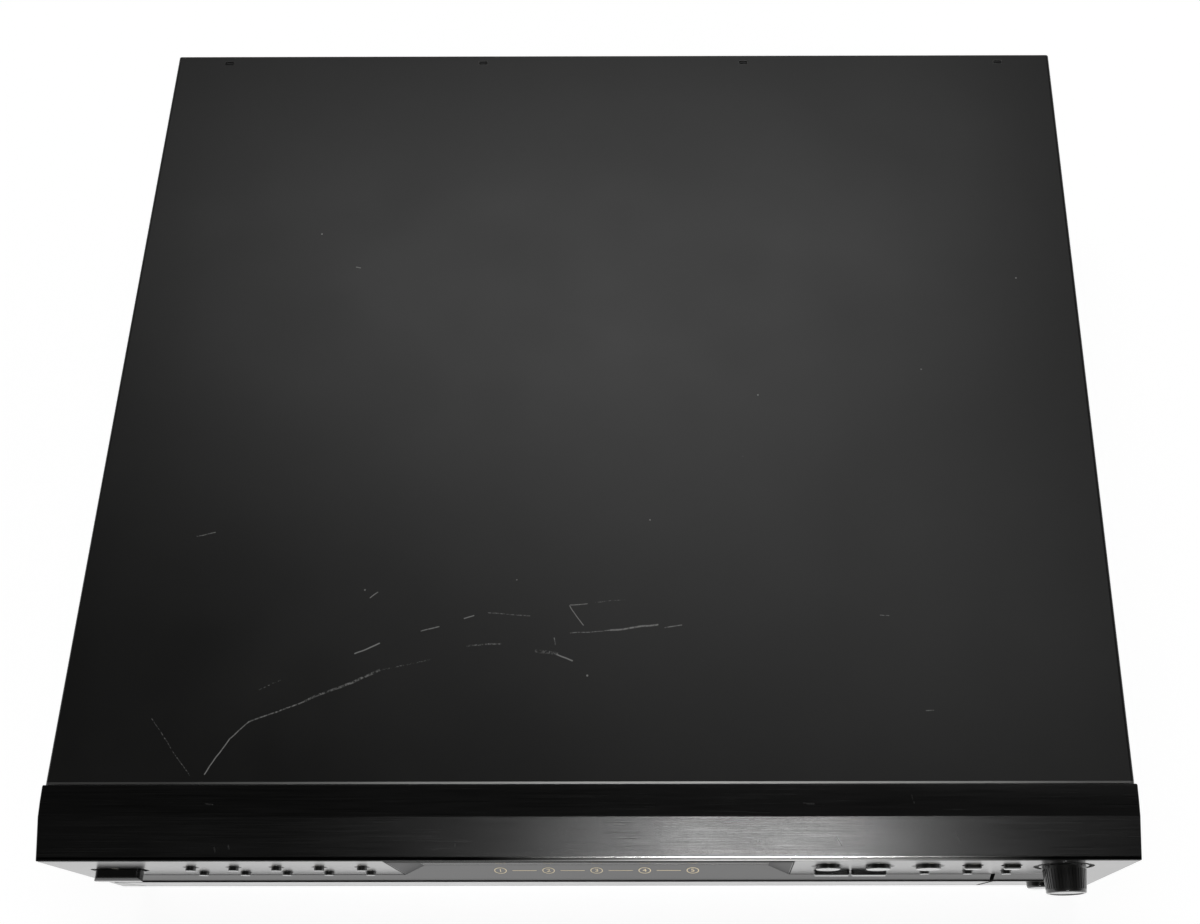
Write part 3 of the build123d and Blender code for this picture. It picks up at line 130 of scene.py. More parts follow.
class StudioLook(PropertyGroup):
    horizon: share("Horizon", "Brightness of the studio wall at the height of the player", 0.22)
    zenith: share("Zenith", "Brightness of the studio ceiling", 0.02)
    near_wall: share("Near wall", "Brightness of the foot of the wall before the player", 1.8)
    rear_lamp: FloatProperty(name="Rear lamp", description="Wide soft box behind the player", default=7.5,
                             unit="POWER")
    top_lamp: FloatProperty(name="Top lamp", description="Soft box over the player's back", default=3.2,
                            unit="POWER")
    front_lamp: FloatProperty(name="Front lamp", description="Strip light before the front", default=7.8,
                              unit="POWER")
    floor_size: size("Floor", "Side of the floor", 6.0)
    floor_glow: share("Floor glow", "Part of the floor's white that the shadow doesn't reach", 0.87)


class CasingLook(PropertyGroup):
    cover_colour: colour("Cover", "Satin paint of the cover", (0.0052, 0.0052, 0.0048))
    cover_roughness: share("Cover roughness", "Roughness of the cover's paint", 0.35)
    scratch_colour: colour("Scratches", "Rubbed paint of the scratches", (0.36, 0.36, 0.35))
    bare_colour: colour("Worn edges", "Paint rubbed off the cover's edges", (0.3, 0.3, 0.29))
    # painted highlight of the front lamp on the metallic strip along the cover's front edge
    lip_highlight_colour: colour("Lip highlight", "Metallic strip along the cover's front edge, with a painted highlight", (0.9, 0.9, 0.88))
    # painted highlight of the front lamp on the metallic lip of the cap strip
    cap_lip_highlight_colour: colour("Cap lip", "Metallic lip of the cap strip, with a painted highlight", (0.85, 0.85, 0.83))
    cap_colour: colour("Cap strip", "Black brushed strip over the front", (0.0045, 0.0045, 0.0043))
    cap_roughness: share("Cap roughness", "Roughness of the brushed strip", 0.234)
    zinc_colour: colour("Chassis", "Zinc plated sheet", (0.56, 0.57, 0.58))


class FrontLook(PropertyGroup):
    fascia_colour: colour("Fascia", "Black moulding of the front", (0.009, 0.009, 0.0085))
    fascia_roughness: share("Fascia roughness", "Roughness of the front", 0.32)
    print_colour: colour("Print", "Numbers and symbols on the front", (0.45, 0.43, 0.38))
    band_colour: colour("Band print", "Numbers on the drawer's band", (0.8, 0.68, 0.46))
    print_height: size("Print height", "How far the print stands out", 0.03 * MM)
    knob_flutes: IntProperty(name="Knob flutes", description="Flutes round the jog knob", default=40, min=8)
    flute_depth: size("Flute depth", "Depth of the knob's flutes", 0.22 * MM)


class DrawerLook(PropertyGroup):
    tray_colour: colour("Tray", "Moulding of the drawer", (0.016, 0.016, 0.016))
    table_colour: colour("Disc table", "Moulding of the turning table", (0.022, 0.022, 0.023))
    number_colour: colour("Disc numbers", "Numbers beside the recesses", (0.5, 0.5, 0.48))
    number_size: size("Number size", "Height of the disc numbers", 11.0 * MM)


class RearLook(PropertyGroup):
    left_ring: colour("Left socket", "Insulator of the left socket", (0.72, 0.71, 0.68))
    right_ring: colour("Right socket", "Insulator of the right socket", (0.5, 0.015, 0.012))


# ---- shader nodes ------------------------------------------------------------------------------
def put(tree, kind, inputs=None, **settings):
    """Adds a shader node; each input is a value or another node's socket."""
    made = tree.nodes.new(kind)
    for name, value in settings.items():
        setattr(made, name, value)
    for key, value in (inputs or {}).items():
        if isinstance(value, bpy.types.NodeSocket):
            tree.links.new(value, made.inputs[key])
        else:
            made.inputs[key].default_value = value
    return made


def maths(tree, operation, *values, clamp=False):
    made = put(tree, "ShaderNodeMath", dict(enumerate(values)), operation=operation, use_clamp=clamp)
    return made.outputs[0]


def times(tree, *values, clamp=False):
    return maths(tree, "MULTIPLY", *values, clamp=clamp)


def plus(tree, *values, clamp=False):
    return maths(tree, "ADD", *values, clamp=clamp)


def aside(tree, value, middle):
    """Distance of a value from a middle."""
    return maths(tree, "ABSOLUTE", maths(tree, "SUBTRACT", value, middle))


def vector_maths(tree, operation, *values):
    made = put(tree, "ShaderNodeVectorMath", dict(enumerate(values)), operation=operation)
    return made.outputs["Value" if operation in ("LENGTH", "DOT_PRODUCT", "DISTANCE") else "Vector"]


def axes(tree, vector):
    """The X, Y and Z of a vector."""
    return put(tree, "ShaderNodeSeparateXYZ", {0: vector}).outputs


def remap(tree, value, low, high, to_low=0.0, to_high=1.0):
    inputs = {"Value": value, "From Min": low, "From Max": high, "To Min": to_low, "To Max": to_high}
    return put(tree, "ShaderNodeMapRange", inputs).outputs[0]


def mix_colours(tree, factor, first, second):
    """Colour mix of two sockets or colours."""
    inputs = {0: factor}
    for index, value in ((6, first), (7, second)):
        inputs[index] = value if isinstance(value, bpy.types.NodeSocket) else (*value, 1.0)
    return put(tree, "ShaderNodeMix", inputs, data_type="RGBA").outputs[2]


def shades(tree, factor, tone, dark, light):
    """Mix of a tone's darker and lighter shade, each given as a share of its brightness."""
    ends = [tuple(min(1.0, part * share) for part in tone) for share in (dark, light)]
    return mix_colours(tree, factor, *ends)


def object_place(tree):
    return put(tree, "ShaderNodeTexCoord").outputs["Object"]


def surface_normal(tree):
    return put(tree, "ShaderNodeNewGeometry").outputs["Normal"]


def noise(tree, place, scale, detail=2.0, roughness=0.5):
    inputs = {"Vector": place, "Scale": scale, "Detail": detail, "Roughness": roughness}
    return put(tree, "ShaderNodeTexNoise", inputs).outputs[0]


def start_group(name, inputs, outputs):
    """Empty shader group whose outputs are plain numbers; gives its tree and the sockets of its two ends."""
    tree = bpy.data.node_groups.new(name, "ShaderNodeTree")
    for label, default in inputs.items():
        kind = "NodeSocketVector" if isinstance(default, tuple) else "NodeSocketFloat"
        tree.interface.new_socket(label, in_out="INPUT", socket_type=kind).default_value = default
    for label in outputs:
        tree.interface.new_socket(label, in_out="OUTPUT", socket_type="NodeSocketFloat")
    return tree, tree.nodes.new("NodeGroupInput").outputs, tree.nodes.new("NodeGroupOutput").inputs


def grain_group():
    """Fine grain of a moulding or paint, and slow clouds of tone over it."""
    tree, given, result = start_group("Moulded grain", {"Scale": 2000.0}, ("Grain", "Clouds"))
    place = object_place(tree)
    tree.links.new(noise(tree, place, given["Scale"], 3.0, 0.6), result["Grain"])
    slow = maths(tree, "DIVIDE", given["Scale"], 90.0)
    tree.links.new(noise(tree, place, slow, 3.0, 0.55), result["Clouds"])
    return tree


def edge_group():
    """Mask of the convex edges, broken up as by handling."""
    inputs = {"Width": 0.4 * MM, "Breakup": 220.0, "Amount": 1.0}
    tree, given, result = start_group("Edge wear", inputs, ("Mask",))
    rounded_normal = put(tree, "ShaderNodeBevel", {"Radius": given["Width"]}, samples=4).outputs[0]
    same = vector_maths(tree, "DOT_PRODUCT", rounded_normal, surface_normal(tree))
    edge = remap(tree, maths(tree, "SUBTRACT", 1.0, same), 0.015, 0.2)
    patches = remap(tree, noise(tree, object_place(tree), given["Breakup"], 3.0, 0.6), 0.38, 0.62)
    tree.links.new(times(tree, times(tree, edge, patches), given["Amount"], clamp=True), result["Mask"])
    return tree


def brushed_group():
    """Fine lines along X, as a brush leaves them, and wider bands of them."""
    tree, given, result = start_group("Brushed lines", {"Lines": 3500.0, "Stretch": 60.0}, ("Lines", "Bands"))
    along = maths(tree, "DIVIDE", given["Lines"], given["Stretch"])
    scale = put(tree, "ShaderNodeCombineXYZ", {0: along, 1: given["Lines"], 2: given["Lines"]}).outputs[0]
    place = vector_maths(tree, "MULTIPLY", object_place(tree), scale)
    tree.links.new(noise(tree, place, 1.0, 4.0, 0.65), result["Lines"])
    wide = vector_maths(tree, "MULTIPLY", place, (0.2, 0.12, 0.12))
    tree.links.new(noise(tree, wide, 1.0, 2.0, 0.5), result["Bands"])
    return tree


def dust_group():
    """Dust that lies on what faces up: a thin film and scattered flecks."""
    inputs = {"Film": 0.2, "Flecks": 1.0, "Fleck Scale": 55.0}
    tree, given, result = start_group("Dust", inputs, ("Mask",))
    place = object_place(tree)
    facing_up = remap(tree, axes(tree, surface_normal(tree))[2], 0.6, 0.95)
    film = times(tree, remap(tree, noise(tree, place, 14.0, 5.0, 0.6), 0.42, 0.75), given["Film"])
    cells = put(tree, "ShaderNodeTexVoronoi", {"Vector": place, "Scale": given["Fleck Scale"]})
    chance = put(tree, "ShaderNodeSeparateColor", {0: cells.outputs["Color"]}).outputs[0]
    radius = remap(tree, chance, 0.9, 1.0, 0.0, 0.026)
    fleck = times(tree, maths(tree, "LESS_THAN", cells.outputs["Distance"], radius), given["Flecks"])
    tree.links.new(times(tree, plus(tree, film, fleck, clamp=True), facing_up), result["Mask"])
    return tree


def scratch_group():
    """One scratch between two points of a surface, wavering and broken."""
    inputs = {"Start": (0, 0, 0), "End": (1, 0, 0), "Width": 0.3 * MM, "Waver": 1.4 * MM, "Gaps": 0.5}
    tree, given, result = start_group("Scratch", inputs, ("Mask",))
    place = object_place(tree)
    drift = put(tree, "ShaderNodeTexNoise", {"Vector": place, "Scale": 70.0, "Detail": 2.0}).outputs["Color"]
    drift = vector_maths(tree, "SUBTRACT", drift, (0.5, 0.5, 0.5))
    reach = put(tree, "ShaderNodeCombineXYZ", {0: given["Waver"], 1: given["Waver"]}).outputs[0]
    place = vector_maths(tree, "ADD", place, vector_maths(tree, "MULTIPLY", drift, reach))
    from_start = vector_maths(tree, "SUBTRACT", place, given["Start"])
    span = vector_maths(tree, "SUBTRACT", given["End"], given["Start"])
    along = maths(tree, "DIVIDE", vector_maths(tree, "DOT_PRODUCT", from_start, span),
                  vector_maths(tree, "DOT_PRODUCT", span, span), clamp=True)
    nearest = put(tree, "ShaderNodeVectorMath", {0: span, "Scale": along}, operation="SCALE").outputs[0]
    distance = vector_maths(tree, "LENGTH", vector_maths(tree, "SUBTRACT", from_start, nearest))
    line = remap(tree, maths(tree, "DIVIDE", distance, given["Width"]), 0.35, 1.0, 1.0, 0.0)
    low = times(tree, given["Gaps"], 0.75)
    broken = remap(tree, noise(tree, object_place(tree), 900.0, 3.0, 0.7), low, plus(tree, low, 0.25))
    tree.links.new(times(tree, line, broken), result["Mask"])
    return tree


def turned_group():
    """Fine rings round an axis; Flatten leaves out the axis' own direction."""
    inputs = {"Centre": (0, 0, 0), "Flatten": (1, 1, 0), "Rings": 1500.0}
    tree, given, result = start_group("Turned rings", inputs, ("Rings",))
    arm = vector_maths(tree, "SUBTRACT", object_place(tree), given["Centre"])
    arm = vector_maths(tree, "MULTIPLY", arm, given["Flatten"])
    radius = times(tree, vector_maths(tree, "LENGTH", arm), given["Rings"])
    rings = put(tree, "ShaderNodeTexNoise", {"W": radius, "Scale": 1.0, "Detail": 2.0}, noise_dimensions="1D")
    tree.links.new(rings.outputs[0], result["Rings"])
    return tree


def spangle_group():
    """Crystal patches of zinc plating."""
    tree, given, result = start_group("Zinc spangle", {"Scale": 90.0}, ("Patch",))
    place = object_place(tree)
    bent = put(tree, "ShaderNodeTexNoise", {"Vector": place, "Scale": 60.0}).outputs["Color"]
    place = vector_maths(tree, "ADD", place, vector_maths(tree, "MULTIPLY", bent, (0.01, 0.01, 0.01)))
    cells = put(tree, "ShaderNodeTexVoronoi", {"Vector": place, "Scale": given["Scale"]}).outputs["Color"]
    tree.links.new(put(tree, "ShaderNodeSeparateColor", {0: cells}).outputs[0], result["Patch"])
    return tree


GROUP_MAKERS = {
    "Moulded grain": grain_group, "Edge wear": edge_group, "Brushed lines": brushed_group, "Dust": dust_group,
    "Scratch": scratch_group, "Turned rings": turned_group, "Zinc spangle": spangle_group,
}


def effect(tree, name, **values):
    """Places a shared group in a material with its own values; gives its outputs."""
    shared = bpy.data.node_groups.get(name) or GROUP_MAKERS[name]()
    made = tree.nodes.new("ShaderNodeGroup")
    made.node_tree = shared
    for key, value in values.items():
        made.inputs[key.replace("_", " ").title()].default_value = value
    return made.outputs


def clouds_of(tree, scale):
    return effect(tree, "Moulded grain", scale=scale)["Clouds"]


def worn_edges(tree, width, **values):
    return effect(tree, "Edge wear", width=width * MM, **values)["Mask"]


def new_finish(name, **constants):
    """Material with a Principled shader and its plain constants; gives its tree and the shader."""
    material = bpy.data.materials.new(f"{name}_finish")
    material.use_nodes = True
    shader = material.node_tree.nodes["Principled BSDF"]
    for key, value in constants.items():
        shader.inputs[key.replace("_", " ").title().replace("Ior", "IOR")].default_value = value
    return material.node_tree, shader


def feed(tree, shader, **sockets):
    for key, socket in sockets.items():
        tree.links.new(socket, shader.inputs[key.replace("_", " ").title()])


def bumped(tree, shader, height, depth):
    """Bump of a height that varies from 0 to 1 over a depth in millimetres."""
    bump = put(tree, "ShaderNodeBump", {"Height": height, "Distance": depth * MM})
    feed(tree, shader, normal=bump.outputs[0])


# ---- finishes ----------------------------------------------------------------------------------
def moulded(name, tone, roughness, grain=2600.0, depth=0.02, worn=0.35, film=0.12, **constants):
    """Moulded plastic or rubber: grain, clouded gloss, rubbed edges and a little dust."""
    tree, shader = new_finish(name, **constants)
    surface = effect(tree, "Moulded grain", scale=grain)
    edges = worn_edges(tree, 0.35, amount=worn)
    dust = effect(tree, "Dust", film=film, flecks=0.6)["Mask"]
    clouded = shades(tree, remap(tree, surface["Clouds"], 0.3, 0.7), tone, 0.86, 1.14)
    rubbed = mix_colours(tree, edges, clouded, tuple(min(1.0, part * 2.2 + 0.02) for part in tone))
    dusty = mix_colours(tree, times(tree, dust, 0.35), rubbed, (0.32, 0.31, 0.29))
    gloss = remap(tree, surface["Clouds"], 0.25, 0.75, roughness - 0.05, roughness + 0.05)
    feed(tree, shader, base_color=dusty, roughness=plus(tree, gloss, times(tree, dust, 0.3), clamp=True))
    bumped(tree, shader, surface["Grain"], depth)


def sheet_steel(name, tone, roughness, spangle):
    """Plated sheet: spangle, drawn lines and brighter edges."""
    tree, shader = new_finish(name, metallic=1.0)
    patch = effect(tree, "Zinc spangle", scale=spangle)["Patch"]
    lines = effect(tree, "Brushed lines", lines=1800.0, stretch=25.0)["Lines"]
    edges = worn_edges(tree, 0.4, amount=0.4)
    toned = shades(tree, patch, tone, 0.94, 1.04)
    feed(tree, shader, base_color=mix_colours(tree, edges, toned, (0.8, 0.8, 0.79)),
         roughness=remap(tree, patch, 0.0, 1.0, roughness - 0.03, roughness + 0.05))
    bumped(tree, shader, lines, 0.006)


def turned_metal(name, tone, roughness, centre, flatten, rings):
    """Turned metal with rings round its axis."""
    tree, shader = new_finish(name, metallic=1.0)
    lathe = effect(tree, "Turned rings", centre=centre, flatten=flatten, rings=rings)["Rings"]
    feed(tree, shader, base_color=shades(tree, clouds_of(tree, 2500.0), tone, 0.82, 1.1),
         roughness=remap(tree, lathe, 0.3, 0.7, roughness - 0.06, roughness + 0.08))
    bumped(tree, shader, lathe, 0.008)


def scratched(tree, scratches, waver):
    """Mask of all the scratches, each a start, an end, a width and the share of its gaps."""
    marks = None
    for start, end, width, gaps in scratches:
        mask = effect(tree, "Scratch", start=start, end=end, width=width * MM, gaps=gaps,
                      waver=waver * MM)["Mask"]
        marks = mask if marks is None else maths(tree, "MAXIMUM", marks, mask)
    return marks


def lip_highlight_along(tree, place, middle, full, none):
    """Painted highlight of a lip by the distance along X from a middle: whole up to one distance, none from
    another on.
    """
    return remap(tree, aside(tree, axes(tree, place)[0], middle * MM), full * MM, none * MM, 1.0, 0.0)


# start X, start depth, end X, end depth, width and gaps of the scratches on the cover, in millimetres
SCRATCHES = (
    (-152.0, 32.0, -143.6, 46.8, 0.42, 0.3), (-143.6, 46.8, -137.0, 53.0, 0.42, 0.4),
    (-137.0, 53.0, -115.4, 61.3, 0.5, 0.5), (-115.4, 61.3, -86.4, 74.1, 0.85, 0.55),
    (-86.4, 74.1, -66.0, 78.4, 0.5, 0.66), (-97.2, 81.2, -87.4, 85.3, 0.5, 0.0),
    (-176.0, 54.6, -157.6, 31.8, 0.3, 0.62), (-134.1, 66.2, -126.4, 69.9, 0.35, 0.6),
    (-93.4, 104.8, -90.4, 107.0, 0.4, 0.3), (-71.0, 90.5, -64.0, 92.3, 0.42, 0.3),
    (-53.6, 95.9, -49.6, 97.0, 0.42, 0.25), (-43.8, 98.0, -26.7, 97.0, 0.36, 0.55),
    (-51.6, 84.0, -38.4, 84.7, 0.6, 0.6), (-23.4, 81.8, -14.0, 80.6, 1.1, 0.62),
    (-15.0, 80.4, -8.5, 78.0, 0.5, 0.2), (-10.0, 89.2, 6.4, 90.7, 0.34, 0.5),
    (6.4, 90.7, 25.8, 93.0, 0.62, 0.36), (28.9, 91.8, 35.6, 92.8, 0.4, 0.4),
    (-10.6, 101.6, -4.5, 92.9, 0.34, 0.1), (-10.5, 101.9, -3.0, 102.2, 0.36, 0.4),
    (0.0, 102.8, 12.0, 103.2, 0.3, 0.62), (-16.8, 87.4, -16.0, 84.6, 0.35, 0.5),
    (-169.0, 132.0, -161.6, 133.4, 0.34, 0.4), (117.0, 96.9, 120.5, 96.6, 0.34, 0.5),
    (134.0, 57.3, 137.0, 57.5, 0.34, 0.5), (-114.6, 262.8, -112.8, 262.2, 0.4, 0.1),
)
SCRATCH_BRIGHT = 0.72  # part of a scratch's width that shows
# X, depth and radius of the pale specks on the cover
SPECKS = ((-2.3, 71.7, 0.42), (22.0, 138.9, 0.3), (68.5, 197.5, 0.36), (-132.4, 280.7, 0.42),
          (187.0, 256.5, 0.36), (-95.8, 108.1, 0.34), (-33.0, 112.4, 0.25), (141.0, 210.0, 0.28))
COVER_LIP = 0.8  # width of the metallic strip along the cover's front edge, which carries a painted highlight of the front lamp
LIP_FADE = 0.1


def on_cover(x, depth):
    return x * MM, back(depth), COVER_TOP


def finish_cover(look):
    """Satin baked paint with its scratches, specks, rubbed edges and dust, and a painted highlight of the
    front lamp on a metallic strip along its front edge.
    """
    tree, shader = new_finish("cover_paint", ior=1.5)
    surface = effect(tree, "Moulded grain", scale=1500.0)
    edges = worn_edges(tree, 0.5, amount=1.0, breakup=60.0)
    dust = effect(tree, "Dust", film=0.1, flecks=1.0, fleck_scale=48.0)["Mask"]
    place = object_place(tree)
    marks = scratched(tree, [(on_cover(x, depth), on_cover(end_x, end_depth), width * SCRATCH_BRIGHT, gaps)
                             for x, depth, end_x, end_depth, width, gaps in SCRATCHES], 2.2)
    for x, depth, radius in SPECKS:
        reach = vector_maths(tree, "DISTANCE", place, on_cover(x, depth))
        marks = maths(tree, "MAXIMUM", marks, maths(tree, "LESS_THAN", reach, radius * MM))
    clouded = shades(tree, remap(tree, surface["Clouds"], 0.3, 0.7), look.cover_colour, 0.8, 1.2)
    rubbed = mix_colours(tree, edges, clouded, look.bare_colour)
    marked = mix_colours(tree, marks, rubbed, look.scratch_colour)
    dusty = mix_colours(tree, times(tree, dust, 0.1), marked, (0.4, 0.39, 0.37))
    # painted highlight of the front lamp: a metallic strip along the front edge, brightest within 30 mm of X
    # = 15 mm and gone by 180 mm
    start = COVER_FRONT + COVER_LIP * MM
    lip = remap(tree, axes(tree, place)[1], start, start + LIP_FADE * MM, 1.0, 0.0)
    painted_lip_highlight = mix_colours(tree, lip_highlight_along(tree, place, 15, 30, 180), (0.22, 0.22, 0.215), look.lip_highlight_colour)
    gloss = remap(tree, surface["Clouds"], 0.2, 0.8, look.cover_roughness - 0.03, look.cover_roughness + 0.03)
    gloss = plus(tree, plus(tree, gloss, times(tree, marks, 0.1)), times(tree, lip, 0.03))
    feed(tree, shader, base_color=mix_colours(tree, lip, dusty, painted_lip_highlight), metallic=lip, roughness=gloss)
    bumped(tree, shader, surface["Grain"], 0.006)


# start X, start depth, end X, end depth and width of the scuffs on the cap strip, in millimetres
CAP_SCUFFS = (
    (84.0, 21.0, 88.0, 20.6, 0.3), (111.0, 14.2, 119.5, 3.0, 0.3), (143.0, 10.0, 146.0, 3.5, 0.35),
    (64.0, 4.0, 70.0, 12.0, 0.25), (-52.0, 8.0, -51.5, 4.0, 0.3), (33.0, 11.0, 38.0, 3.5, 0.22),
    (-146.0, 6.5, -145.0, 3.0, 0.3), (-140.5, 7.0, -139.5, 3.5, 0.3), (126.0, 24.0, 127.0, 20.5, 0.25),
    (-150.0, 21.0, -147.0, 20.7, 0.25), (96.0, 9.0, 100.0, 3.0, 0.22),
)
CAP_NOSE_DEPTH, CAP_NOSE_HEIGHT = 12.0, 107.0  # the strip's sloping nose
CAP_FLAT_DEPTH, CAP_FLAT_HEIGHT = 16.0, 109.6
SCUFF_DROP = 2.4  # how far a scuff runs down the nose
SCUFF_SPREAD = 1.4  # a scuff's reach beside its line, as a share of its width
CAP_LIP_HEIGHT, CAP_LIP_FADE = 104.38, 0.12  # metallic lip of the strip's front, which carries a painted highlight of the front lamp


def finish_cap(look):
    """Black strip brushed along its length, with scuffs and a painted highlight of the front lamp on its
    metallic front lip.
    """
    tree, shader = new_finish("cap_black", ior=1.55)
    brush = effect(tree, "Brushed lines", lines=2600.0, stretch=90.0)
    edges = worn_edges(tree, 0.35, amount=0.55, breakup=120.0)
    scuffs = []
    for x, depth, end_x, end_depth, width in CAP_SCUFFS:
        height = CAP_NOSE_HEIGHT if depth < CAP_NOSE_DEPTH else CAP_FLAT_HEIGHT
        end_height = height - SCUFF_DROP if depth < CAP_FLAT_DEPTH else height
        scuffs.append(((x * MM, back(depth), height * MM), (end_x * MM, back(end_depth), end_height * MM),
                       width * SCUFF_SPREAD, 0.55))
    marks = scratched(tree, scuffs, 1.2)
    lined = shades(tree, remap(tree, brush["Lines"], 0.3, 0.7), look.cap_colour, 0.6, 1.6)
    rubbed = mix_colours(tree, edges, lined, (0.12, 0.12, 0.118))
    scuffed = mix_colours(tree, marks, rubbed, (0.07, 0.07, 0.068))
    gloss = remap(tree, brush["Lines"], 0.25, 0.75, look.cap_roughness - 0.05, look.cap_roughness + 0.05)
    gloss = plus(tree, gloss, remap(tree, clouds_of(tree, 1400.0), 0.3, 0.7, -0.02, 0.03))
    place = object_place(tree)
    # painted highlight of the front lamp on the metallic front lip, brightest within 30 mm of X = 68 mm and
    # gone by 115 mm
    lip_top = (CAP_LIP_HEIGHT + CAP_LIP_FADE) * MM
    lip = remap(tree, axes(tree, place)[2], CAP_LIP_HEIGHT * MM, lip_top, 1.0, 0.0)
    worn = lip_highlight_along(tree, place, 68, 30, 115)
    painted_lip_highlight = mix_colours(tree, times(tree, worn, worn), (0.003, 0.003, 0.003), look.cap_lip_highlight_colour)
    feed(tree, shader, base_color=mix_colours(tree, lip, scuffed, painted_lip_highlight), metallic=lip, roughness=gloss)
    bumped(tree, shader, plus(tree, brush["Lines"], times(tree, brush["Bands"], 0.6)), 0.012)


def finish_fascia(look):
    """Polished black moulding: a clear coat over faint grain, with rubbed edges and dust."""
    tree, shader = new_finish("fascia_black", ior=1.52, coat_weight=1.0, coat_roughness=0.28)
    surface = effect(tree, "Moulded grain", scale=1800.0)
    dust = effect(tree, "Dust", film=0.2, flecks=0.6)["Mask"]
    clouded = shades(tree, surface["Clouds"], look.fascia_colour, 0.85, 1.15)
    rubbed = mix_colours(tree, worn_edges(tree, 0.25, amount=0.35, breakup=160.0), clouded, (0.1, 0.1, 0.098))
    gloss = look.fascia_roughness
    feed(tree, shader, base_color=mix_colours(tree, times(tree, dust, 0.3), rubbed, (0.3, 0.29, 0.27)),
         roughness=remap(tree, surface["Clouds"], 0.3, 0.7, gloss - 0.03, gloss + 0.04))
    bumped(tree, shader, surface["Grain"], 0.0008)


def finish_window():
    """Smoked clear acrylic."""
    tree, shader = new_finish("window_smoke", ior=1.49, transmission_weight=1.0)
    clouds = clouds_of(tree, 900.0)
    feed(tree, shader, base_color=mix_colours(tree, clouds, (0.1, 0.092, 0.085), (0.125, 0.116, 0.108)),
         roughness=remap(tree, clouds, 0.3, 0.7, 0.02, 0.05))


FILM_FOOT, FILM_FULL = 92.5, 94.5  # heights where the tube's metal film starts and covers


def finish_tube():
    """Display tube: dark glass with the grey metal getter film at its top."""
    tree, shader = new_finish("tube_glass", ior=1.5, coat_weight=0.6)
    clouds = clouds_of(tree, 1500.0)
    film = remap(tree, axes(tree, object_place(tree))[2], FILM_FOOT * MM, FILM_FULL * MM)
    glass = mix_colours(tree, clouds, (0.012, 0.016, 0.015), (0.02, 0.026, 0.024))
    feed(tree, shader, base_color=mix_colours(tree, film, glass, (0.12, 0.12, 0.12)),
         roughness=remap(tree, clouds, 0.3, 0.7, 0.07, 0.14))


BOARD_FACE, CHIP_TOP = 23.8, 34.0  # heights between which the main board's black parts stand


def finish_board():
    """Phenolic board with copper tracks under its lacquer, black parts above it."""
    tree, shader = new_finish("board_brown")
    place = object_place(tree)
    clouds = clouds_of(tree, 1300.0)
    inputs = {"Vector": place, "Scale": 190.0, "Randomness": 0.25}
    cells = put(tree, "ShaderNodeTexVoronoi", inputs, feature="DISTANCE_TO_EDGE").outputs["Distance"]
    track = remap(tree, cells, 0.06, 0.09, 1.0, 0.0)
    board = mix_colours(tree, clouds, (0.2, 0.11, 0.045), (0.29, 0.165, 0.07))
    lined = mix_colours(tree, track, board, (0.33, 0.24, 0.1))
    height = axes(tree, place)[2]
    chips = times(tree, maths(tree, "GREATER_THAN", height, BOARD_FACE * MM),
                  maths(tree, "LESS_THAN", height, CHIP_TOP * MM))
    feed(tree, shader, base_color=mix_colours(tree, chips, lined, (0.02, 0.02, 0.022)),
         roughness=remap(tree, clouds, 0.3, 0.7, 0.35, 0.5))
    bumped(tree, shader, track, 0.03)


def finish_capacitors():
    """Shrink sleeves with uncovered aluminium tops and a pale stripe down one side."""
    tree, shader = new_finish("capacitor_sleeve", coat_weight=0.3)
    clouds = clouds_of(tree, 1600.0)
    normal = axes(tree, surface_normal(tree))
    top = maths(tree, "GREATER_THAN", normal[2], 0.9)
    stripe = maths(tree, "LESS_THAN", normal[0], -0.93)
    sleeve = mix_colours(tree, clouds, (0.012, 0.014, 0.03), (0.02, 0.022, 0.045))
    striped = mix_colours(tree, stripe, sleeve, (0.42, 0.42, 0.4))
    feed(tree, shader, base_color=mix_colours(tree, top, striped, (0.72, 0.72, 0.72)), metallic=top,
         roughness=remap(tree, clouds, 0.3, 0.7, 0.28, 0.4))


CORE_HALF, CORE_FOOT, LAMINATION = 9.2, 4.0, 0.5  # the transformer's iron, beside and under its winding


def finish_transformer():
    """Varnished laminations round a taped winding."""
    tree, shader = new_finish("transformer_core")
    place = axes(tree, object_place(tree))
    clouds = clouds_of(tree, 1500.0)
    low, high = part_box("power_transformer")
    beside = maths(tree, "GREATER_THAN", aside(tree, place[0], (low.x + high.x) / 2), CORE_HALF * MM)
    winding = times(tree, beside, maths(tree, "GREATER_THAN", place[2], low.z + CORE_FOOT * MM))
    sheets = maths(tree, "SINE", times(tree, place[0], 2 * pi / (LAMINATION * MM)))
    iron = mix_colours(tree, clouds, (0.05, 0.045, 0.042), (0.085, 0.078, 0.07))
    tape = mix_colours(tree, clouds, (0.42, 0.3, 0.07), (0.52, 0.38, 0.1))
    feed(tree, shader, base_color=mix_colours(tree, winding, iron, tape),
         roughness=remap(tree, clouds, 0.3, 0.7, 0.4, 0.55))
    bumped(tree, shader, times(tree, sheets, maths(tree, "SUBTRACT", 1.0, winding)), 0.05)


def finish_table(look):
    """Turned-looking moulding of the disc table."""
    tree, shader = new_finish("table_plastic", ior=1.5)
    surface = effect(tree, "Moulded grain", scale=2400.0)
    x, y, _ = centre_of("disc_table")
    rings = effect(tree, "Turned rings", centre=(x, y, 0.0), flatten=(1, 1, 0), rings=900.0)["Rings"]
    dust = effect(tree, "Dust", film=0.25, flecks=0.8, fleck_scale=70.0)["Mask"]
    clouded = shades(tree, surface["Clouds"], look.table_colour, 0.85, 1.15)
    rubbed = mix_colours(tree, worn_edges(tree, 0.4, amount=0.5), clouded, (0.09, 0.09, 0.09))
    feed(tree, shader, base_color=mix_colours(tree, times(tree, dust, 0.2), rubbed, (0.35, 0.34, 0.32)),
         roughness=remap(tree, rings, 0.3, 0.7, 0.36, 0.48))
    bumped(tree, shader, plus(tree, surface["Grain"], times(tree, rings, 0.5)), 0.012)


